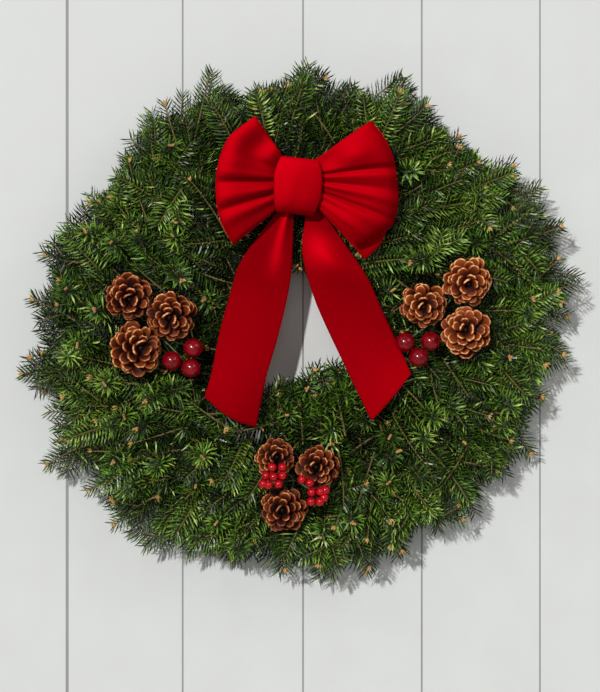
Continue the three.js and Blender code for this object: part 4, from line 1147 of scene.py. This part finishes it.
def build_berries():
    """The large berries, and the small ones with a curved stalk each from their bunch's foot."""
    random = np.random.default_rng(BERRY_SEED)
    for name, at in BERRIES:
        shape = berry(np.array([at[0], BERRY_Y, at[1]]), BERRY_RADIUS, random)
        piece(f"{name}_skin", shape, ["large_berry"], name)
    for name, foot, places in BERRY_BUNCHES:
        knot = np.array([foot[0], SMALL_BERRY_FOOT_Y, foot[1]])
        points, triangles = ball(10, 6)
        shapes = [plain(points * STALK_KNOT_RADIUS + knot, triangles, kind=STALK)]
        for i, (x, z) in enumerate(places):
            depth = SMALL_BERRY_Y + SMALL_BERRY_STAGGER * (i % 3)
            centre = np.array([x + SMALL_BERRY_SHIFT[0], depth, z + SMALL_BERRY_SHIFT[1]])
            shapes.append(berry(centre, SMALL_BERRY_RADIUS, random, 16, 11))
            line, _ = bezier(knot, (knot + centre) / 2 + [0, 2, 0], centre, np.linspace(0, 1, 6))
            shapes.append(plain(*tube(line, STALK_RADIUS, 6), kind=STALK))
        piece(f"{name}_skin", join(shapes), ["small_berry", "pick"], name)


# Bow

LOOP_ROWS = 49
LOOP_COLUMNS = 61
UNDER_ROWS = 25
UNDER_COLUMNS = 21
# How far the loops bulge in front and behind
LOOP_FRONT, LOOP_BACK = 21.0, 10.0
# The gathered ribbon in the loops' middle: its place and half its size
GATHER = np.array([KNOT[0], -90.7, KNOT[2]])
GATHER_SIZE = [16, 13.5, 26]
# The direction of the light on the upper left, towards which the velvet is painted lighter
PAINTED_LIGHT_FROM = np.array([-0.62, -0.35, 0.70])


def from_knot(x, y, z):
    """Points by how far they are from the middle of the knot."""
    return np.stack(np.broadcast_arrays(KNOT[0] + x, KNOT[1] + y, KNOT[2] + z), -1)


def sheet_with_painted_light(grid, thickness, painted_light=0.0):
    """A closed sheet whose points hold painted light, by how far their side is turned towards
    the light: a half, plus 0.62 of the product of the normal and the light's direction less
    0.35, plus the given extra painted light."""
    points, triangles = sheet(grid, thickness)
    along, across = np.gradient(grid, axis=0), np.gradient(grid, axis=1)
    normal = unit(np.cross(along, across))
    normal = normal * -np.sign(normal[..., 1:2])
    # Painted light: lighter where a side faces the light on the upper left, darker in the folds
    painted_pile_light = np.clip(0.5 + painted_light + 0.62 * (normal @ PAINTED_LIGHT_FROM - 0.35), 0, 1).ravel()
    return points, triangles, np.zeros(len(triangles), int), np.concatenate([painted_pile_light, painted_pile_light])


def bell(distance, width):
    """A rounded ridge: the exponential of less the square of the distance by the width."""
    return np.exp(-(distance / width) ** 2)


def loop_grid(loop):
    """A loop of ribbon as a grid of points, a straight blend from its root at the knot to its
    outer fold. Going round, it opens as 1 less a power of the distance from the fold, and it
    swings forward and back by a whole sine, so that it leaves the knot in front and comes back
    behind. Its pleats stand out by the sum of its ridges, least at the fold and weaker behind,
    and its soft bulges and hollows in front by the sum of its bumps."""
    edge = smooth_line(loop["edge"], LOOP_COLUMNS)
    across = np.linspace(0, 1, LOOP_COLUMNS)
    root = np.outer(1 - across, loop["knot_top"]) + np.outer(across, loop["knot_foot"])
    crown = np.sin(math.pi * across) ** 0.5
    round_share = np.linspace(0, 1, LOOP_ROWS)[:, None]
    out = 1 - np.abs(2 * round_share - 1) ** 2.2
    swing = np.sin(2 * math.pi * round_share)
    front = swing > 0
    bulge = swing * np.where(front, LOOP_FRONT, LOOP_BACK) * (0.55 + 0.45 * crown)
    ridges = sum(height * bell(across - at, width) for at, width, height in loop["ridges"])
    bumps = sum(height * bell(across - at, wide) * bell(out - out_at, long)
                for at, out_at, wide, long, height in loop["bumps"])
    held = np.minimum(1, np.abs(swing) * 2.2) * np.where(front, 1.0, -0.4)
    pleats = held * (ridges * (1 - 0.4 * out) + front * bumps)
    flat = root + (edge - root) * out[..., None]
    return from_knot(flat[..., 0], -bulge - pleats, flat[..., 1])


def under_layer_grid():
    """The layer of ribbon that shows below the right loop: a straight blend from its root to
    its edge, 8 mm behind the knot's middle, less 5 mm of half a sine on the way out."""
    edge = smooth_line(UNDER_LAYER, UNDER_COLUMNS)
    across = np.linspace(0, 1, UNDER_COLUMNS)
    root = np.outer(1 - across, (9, -2)) + np.outer(across, (9, -12))
    out = np.linspace(0, 1, UNDER_ROWS)[:, None]
    flat = root + (edge - root) * out[..., None]
    depth = 8.0 - 5.0 * np.sin(math.pi * out) + 2.0 * across
    return from_knot(flat[..., 0], depth, flat[..., 1])


def bow_piece(name, shape, node):
    """A piece of the bow, which is all of the same velvet ribbon."""
    return piece(name, shape, ["velvet"], node, value_name="painted_pile_light")


def build_loops():
    """Both loops, the layer below the right one, and the gathered ribbon between them."""
    grids = [loop_grid(LEFT_LOOP), loop_grid(RIGHT_LOOP), under_layer_grid()]
    shapes = [sheet_with_painted_light(grid, RIBBON_THICKNESS) for grid in grids]
    points, triangles = ball(24, 16)
    # The gathered ribbon is painted darker, as shade between the loops
    shapes.append(plain(points * GATHER_SIZE + GATHER, triangles, value=0.3))
    return bow_piece("bow_velvet_loops", join(shapes), "bow_loops")


TAIL_ROWS = 61
TAIL_COLUMNS = 25
# The share of the way down and across a tail, for all of its points
TAIL_DOWN = np.linspace(0, 1, TAIL_ROWS)[:, None]
TAIL_ACROSS = np.linspace(0, 1, TAIL_COLUMNS)[None, :]


def tail_grid(tail, fold):
    """A tail of ribbon as a grid of points: a straight blend from its outer to its inner edge.
    Its middle comes to stand 3 mm forward and its cut end bows down, both by half a sine, and
    its folds set it forward."""
    outer = smooth_line(tail["outer"], TAIL_ROWS)
    inner = smooth_line(tail["inner"], TAIL_ROWS)
    depth = smooth_line([(y, 0) for y in TAIL_Y], TAIL_ROWS)[:, :1]
    flat = outer[:, None] * (1 - TAIL_ACROSS)[..., None] + inner[:, None] * TAIL_ACROSS[..., None]
    bow = np.sin(math.pi * TAIL_ACROSS)
    x = KNOT[0] + flat[..., 0]
    y = depth - 3 * bow * np.clip(TAIL_DOWN * 2, 0, 1) - fold(TAIL_DOWN, TAIL_ACROSS)
    z = KNOT[2] + flat[..., 1] - tail["cut"] * bow * np.clip(TAIL_DOWN * 3 - 2, 0, 1)
    return np.stack([x, y, z], -1)


def left_fold(down, across):
    """A ridge of 7 mm straight down at two thirds of the way across, a bell across that fades
    out by the middle of the tail, and a slight wave, which is a sine of the way down."""
    ridge = 7.0 * bell(across - 0.66, 0.14) * np.clip(1.1 - down / 0.44, 0, 1)
    return ridge + 4.0 * np.sin(7.0 * down + 1.5 * across + 0.4) * np.clip(down * 2, 0, 1)


def right_fold(down, across):
    """A crease of 6 mm below the knot, a soft bump of 8 mm at a third of the way down, bells
    both, and a slight wave, which is a sine of the way down."""
    crease = -6.0 * bell(across - 0.62, 0.08) * np.clip(1 - down / 0.18, 0, 1)
    soft = 8.0 * bell(across - 0.56, 0.28) * bell(down - 0.37, 0.08)
    return crease + soft + 4.0 * np.sin(6.4 * down - 1.2 * across + 0.6) * np.clip(down * 2, 0, 1)


def build_tails():
    """Both tails. Painted light runs along the left one's ridge and on the right one's bump,
    and elsewhere they are painted darker."""
    # Where the tails get painted light: a ridge on the left one and a patch on the right one
    ridge = bell(TAIL_ACROSS - 0.68, 0.15) * np.clip((0.5 - TAIL_DOWN) / 0.14, 0, 1)
    patch = bell(TAIL_ACROSS - 0.56, 0.38) * np.exp(-((TAIL_DOWN - 0.34) / 0.11) ** 4)
    left, right = tail_grid(LEFT_TAIL, left_fold), tail_grid(RIGHT_TAIL, right_fold)
    shapes = [
        sheet_with_painted_light(left, RIBBON_THICKNESS, 0.6 * ridge - 0.22),
        sheet_with_painted_light(right[:, ::-1], RIBBON_THICKNESS, 0.42 * patch[:, ::-1] - 0.16),
    ]
    return bow_piece("bow_velvet_tails", join(shapes), "bow_tails")


KNOT_ROWS = 57
KNOT_COLUMNS = 25
KNOT_BACK, KNOT_FRONT = 14.9, 15.6
KNOT_HALF_HEIGHT = 30
KNOT_THICKNESS = 1.1
# The knot's left and right edges from the middle, by height from its foot to its top
KNOT_HEIGHTS = [-31, -25, -10, 8, 20, 32]
KNOT_LEFT = [-22.0, -25.2, -26.0, -25.8, -22.5, -17.5]
KNOT_RIGHT = [14.0, 19.0, 24.5, 26.0, 24.8, 20.5]


def knot_grid():
    """The knot band as a grid of points. Going round, its depth and height are powers of the
    cosine and the sine, which makes a rounded square. Its left and right edges are read from
    the lists by height. Its middle stands forward by 1 less a power of the distance across,
    with a soft fold down it, and its top and foot lean."""
    turn = 2 * math.pi * np.linspace(0.002, 0.998, KNOT_ROWS)[:, None]
    across = np.linspace(-1, 1, KNOT_COLUMNS)[None, :]
    cosine, sine = np.cos(turn), np.sin(turn)
    y = np.where(cosine > 0, KNOT_BACK, KNOT_FRONT) * np.sign(cosine) * np.abs(cosine) ** 0.6
    z = KNOT_HALF_HEIGHT * np.sign(sine) * np.abs(sine) ** 0.85
    left = np.interp(z, KNOT_HEIGHTS, KNOT_LEFT)
    right = np.interp(z, KNOT_HEIGHTS, KNOT_RIGHT)
    x = left + (right - left) * (across + 1) / 2
    front = np.clip(-cosine, 0, 1) ** 0.5
    fold = 0.9 * bell(across + 0.2 - 0.012 * z, 0.35)
    crown = front * (4.6 * (1 - np.abs(across) ** 2.4) + fold)
    return from_knot(x, y - crown, z - 0.12 * x - 2)


def build_bow():
    """The bow's three pieces."""
    loops = build_loops()
    tails = build_tails()
    # The knot is painted a little lighter overall
    knot = bow_piece("bow_velvet_knot", sheet_with_painted_light(knot_grid(), KNOT_THICKNESS, 0.12), "bow_knot")


# Ring and wires

WINDING_HALF_WIDTH = 9.6
WINDING_BACK_Y = 4.4
WINDING_FRONT_Y = -19.0
WINDING_STEPS_PER_TURN = 24
WINDING_WIRE = 0.7
RING_AROUND = 168
RING_SIDES = 10


def build_ring():
    """A closed tube round the wreath's centre: the distance from it is the ring's radius plus
    the wire's times a cosine, and the depth the wire's times a sine."""
    clock = (2 * math.pi * np.arange(RING_AROUND) / RING_AROUND)[:, None]
    turn = 2 * math.pi * np.arange(RING_SIDES) / RING_SIDES
    points = polar(clock, RING_RADIUS + RING_WIRE * np.cos(turn), RING_WIRE * np.sin(turn))
    corner = np.arange(RING_AROUND * RING_SIDES).reshape(RING_AROUND, RING_SIDES)
    a, b = corner.ravel(), np.roll(corner, -1, 0).ravel()
    c, d = np.roll(corner, (-1, -1), (0, 1)).ravel(), np.roll(corner, -1, 1).ravel()
    triangles = np.concatenate([np.stack([a, c, b], 1), np.stack([a, d, c], 1)])
    piece("ring_coated_steel", plain(points.reshape(-1, 3), triangles), ["ring"], "wire_ring")


def build_winding():
    """A helix round the ring and the stems, one turn for each bunch: the distance from the
    ring's line is a sine of the turn, and the depth a cosine. It is left open at the top."""
    middle = (WINDING_BACK_Y + WINDING_FRONT_Y) / 2
    half_depth = (WINDING_BACK_Y - WINDING_FRONT_Y) / 2
    steps = BUNCHES * WINDING_STEPS_PER_TURN
    step = np.arange(4, steps - 3)
    turn = 2 * math.pi * step / WINDING_STEPS_PER_TURN + math.pi
    radius = RING_RADIUS + WINDING_HALF_WIDTH * np.sin(turn)
    line = polar(2 * math.pi * step / steps, radius, middle + half_depth * np.cos(turn))
    shape = plain(*tube(line, WINDING_WIRE, 6))
    piece("winding_florist_wire", shape, ["winding"], "winding_wire")


PICK_HUB_Y = -56.5
PICK_FOOT_Y = -17.0
PICK_STEM, PICK_BRANCH = 1.1, 1.0
# Each pick's node, where its branches part, its foot, and how the names of what it carries start
PICKS = [
    ("pick_left", (-152, -190), (-152, -186), ("cone_left", "berry_left")),
    ("pick_right", (150, -170), (150, -172), ("cone_right", "berry_right")),
    ("pick_bottom", (-6, -346), (-6, -346), ("cone_bottom", "small_berries")),
]


def branch_ends(members):
    """Where a pick's branches end, at the back of the cones and berries that they carry."""
    ends = []
    for name, at, width, tilt, _ in CONES:
        if name.startswith(members):
            half = width * CONE_HEIGHT_SHARE / 2
            ends.append((at[0] - tilt[0] * half, CONE_SEAT_Y - 1, at[1] - tilt[1] * half))
    for name, at in BERRIES:
        if name.startswith(members):
            ends.append((at[0], BERRY_Y + BERRY_RADIUS - 0.4, at[1]))
    for name, foot, _ in BERRY_BUNCHES:
        if name.startswith(members):
            ends.append((foot[0], SMALL_BERRY_FOOT_Y + 2, foot[1]))
    return ends


def build_picks():
    """Each pick is a straight stem and a smooth wire to each thing that it carries."""
    for name, hub, foot, members in PICKS:
        middle = np.array([hub[0], PICK_HUB_Y, hub[1]])
        stem = np.linspace([foot[0], PICK_FOOT_Y, foot[1]], middle, 8)
        shapes = [plain(*tube(stem, PICK_STEM, 8))]
        for end in branch_ends(members):
            elbow = np.array([end[0], PICK_HUB_Y, end[2]])
            line = smooth_line([middle, (middle + elbow) / 2, elbow * 0.94 + middle * 0.06, end], 16)
            shapes.append(plain(*tube(line, PICK_BRANCH, 8)))
        piece(f"{name}_wires", join(shapes), ["pick"], name)


TIE_WIRE = 0.8
TIE_STEPS = 90


def tie_side(sign):
    """One side of the tie wire, from the ring's back over its top and down to the knot."""
    over = RING_WIRE + 1.6
    return [
        (sign * 2.5, over + 0.5, -9),
        (sign * 3, over + 0.6, 1),
        (sign * 3.2, 0, over + 2.4),
        (sign * 5, -12, 4),
        (sign * 12, -40, -8),
        (sign * 28 + KNOT[0], -62, KNOT[2] + 4),
        (sign * 31 + KNOT[0], -72, KNOT[2] - 1),
        (sign * 24 + KNOT[0], -74.9, KNOT[2] - 3),
    ]


def build_tie():
    """The tie wire is a smooth line through the knot behind the loops and back over the ring."""
    line = smooth_line(tie_side(-1) + tie_side(1)[::-1], TIE_STEPS)
    shape = plain(*tube(line, TIE_WIRE, 8))
    piece("bow_tie_coated_wire", shape, ["winding"], "bow_tie_wire")


# Camera, lights, wall and floor

# The plane where one pixel is FRAME_HEIGHT / 692 mm, and the camera's distance and height
SCALE_PLANE_Y = -50.0
CAMERA_DISTANCE = 2500.0
CAMERA_Z = -199.0
FRAME_HEIGHT = 761.0
SENSOR_WIDTH = 36
WALL_Y = 8.0
WALL_HALF_WIDTH = 1500
WALL_HALF_HEIGHT = 1400
FLOOR_HALF = 3000
# The strips behind the gaps between the boards, painted grey as the shade in the gaps, and each gap's
# middle and width
STRIP_Y = WALL_Y + 2.5
STRIP_HALF = 8
GAPS = [
    (-900, 2.4), (-600, 2.4), (-262, 3.4), (-132, 2.0), (3.4, 2.0), (137, 2.0), (270, 1.8),
    (600, 2.4), (900, 2.4),
]


def build_camera():
    """The camera looks straight along +Y at the wreath. Its focal length is the sensor's width
    times the distance by the frame's height, because the frame is higher than it is wide."""
    data = bpy.data.cameras.new("camera")
    data.sensor_width = SENSOR_WIDTH
    data.lens = SENSOR_WIDTH * CAMERA_DISTANCE / FRAME_HEIGHT
    made = bpy.data.objects.new("camera", data)
    made.location = Vector((0, SCALE_PLANE_Y - CAMERA_DISTANCE, CAMERA_Z)) * MM
    made.rotation_euler = (math.pi / 2, 0, 0)
    bpy.context.scene.collection.objects.link(made)
    bpy.context.scene.camera = made


def add_light(name, kind, energy, location, target, **settings):
    """A light at a place in metres that points at its target."""
    data = bpy.data.lights.new(name, kind)
    data.energy = energy
    for key, value in settings.items():
        setattr(data, key, value)
    made = bpy.data.objects.new(name, data)
    made.location = location
    made.rotation_euler = (Vector(target) - Vector(location)).to_track_quat("-Z", "Y").to_euler()
    bpy.context.scene.collection.objects.link(made)


WREATH_MIDDLE = (0, 0, -0.18)


def build_lights():
    """A low sun from the front left that casts the shadows to the right, and soft boxes that
    fill the sides, the front and the back."""
    add_light("window_sun", "SUN", 2.8, (-0.7, -2.2, 0.45), WREATH_MIDDLE, angle=math.radians(2))
    add_light("left_soft_box", "AREA", 2, (-1.2, -1.4, 1.0), WREATH_MIDDLE, size=0.5)
    add_light("right_soft_box", "AREA", 12, (1.9, -2.0, 1.2), (0.4, 0, -0.18), size=1.2)
    add_light("back_fill", "AREA", 45, (0.9, 2.2, 0.7), WREATH_MIDDLE, size=1.5)
    add_light("front_fill", "AREA", 5, (0.1, -2.7, 0.1), WREATH_MIDDLE, size=0.8)
    world = bpy.data.worlds.new("soft_daylight")
    world.use_nodes = True
    background = world.node_tree.nodes["Background"]
    background.inputs["Color"].default_value = srgb("faf8f4")
    background.inputs["Strength"].default_value = 0.26
    bpy.context.scene.world = world


def stage_mesh(name, quads, material):
    """A part of the stage from its four-cornered faces."""
    points = np.reshape(quads, (-1, 3)) * MM
    mesh = bpy.data.meshes.new(name)
    mesh.from_pydata(points.tolist(), [], np.arange(len(points)).reshape(-1, 4).tolist())
    mesh.materials.append(material)
    made = bpy.data.objects.new(name, mesh)
    bpy.context.scene.collection.objects.link(made)
    return made


def upright(left, right, y):
    """An upright strip that faces -Y."""
    low, high = -WALL_HALF_HEIGHT, WALL_HALF_HEIGHT
    return [(left, y, low), (right, y, low), (right, y, high), (left, y, high)]


def build_wall():
    """Upright boards with narrow gaps between them, and a strip behind each gap that is painted darker
    as the gap's shade.
    """
    edges = [x + side * width / 2 for x, width in GAPS for side in (-1, 1)]
    edges = [-WALL_HALF_WIDTH] + edges + [WALL_HALF_WIDTH]
    boards = [upright(left, right, WALL_Y) for left, right in zip(edges[::2], edges[1::2])]
    strips = [upright(x - STRIP_HALF, x + STRIP_HALF, STRIP_Y) for x, _ in GAPS]
    paint = wall_material("white_painted_boards", "bfc0be", "c2c4c2")
    # A grey finish painted as the shade in the gaps
    shade = wall_material("painted_shade_in_gaps", "7c7d7b", "868785")
    stage_mesh("painted_boards", boards, paint).visible_shadow = False
    stage_mesh("painted_gap_shade", strips, shade).visible_shadow = False
    corners = [(-1, -1), (1, -1), (1, 1), (-1, 1)]
    floor = [(x * FLOOR_HALF, y * FLOOR_HALF, -WALL_HALF_HEIGHT) for x, y in corners]
    stage_mesh("pale_floor", [floor], paint)


for k in range(BUNCHES):
    shape = foliage(k)
    name = f"fir_bunch_{k + 1:02d}"
    materials = ["needle", "twig", "bud"]
    piece(f"{name}_needles", shape, materials, name, smooth=False, value_name="tone")
build_cones()
build_berries()
build_bow()
build_ring()
build_winding()
build_picks()
build_tie()
build_wall()
build_camera()
build_lights()
bpy.context.scene.view_settings.view_transform = "Standard"
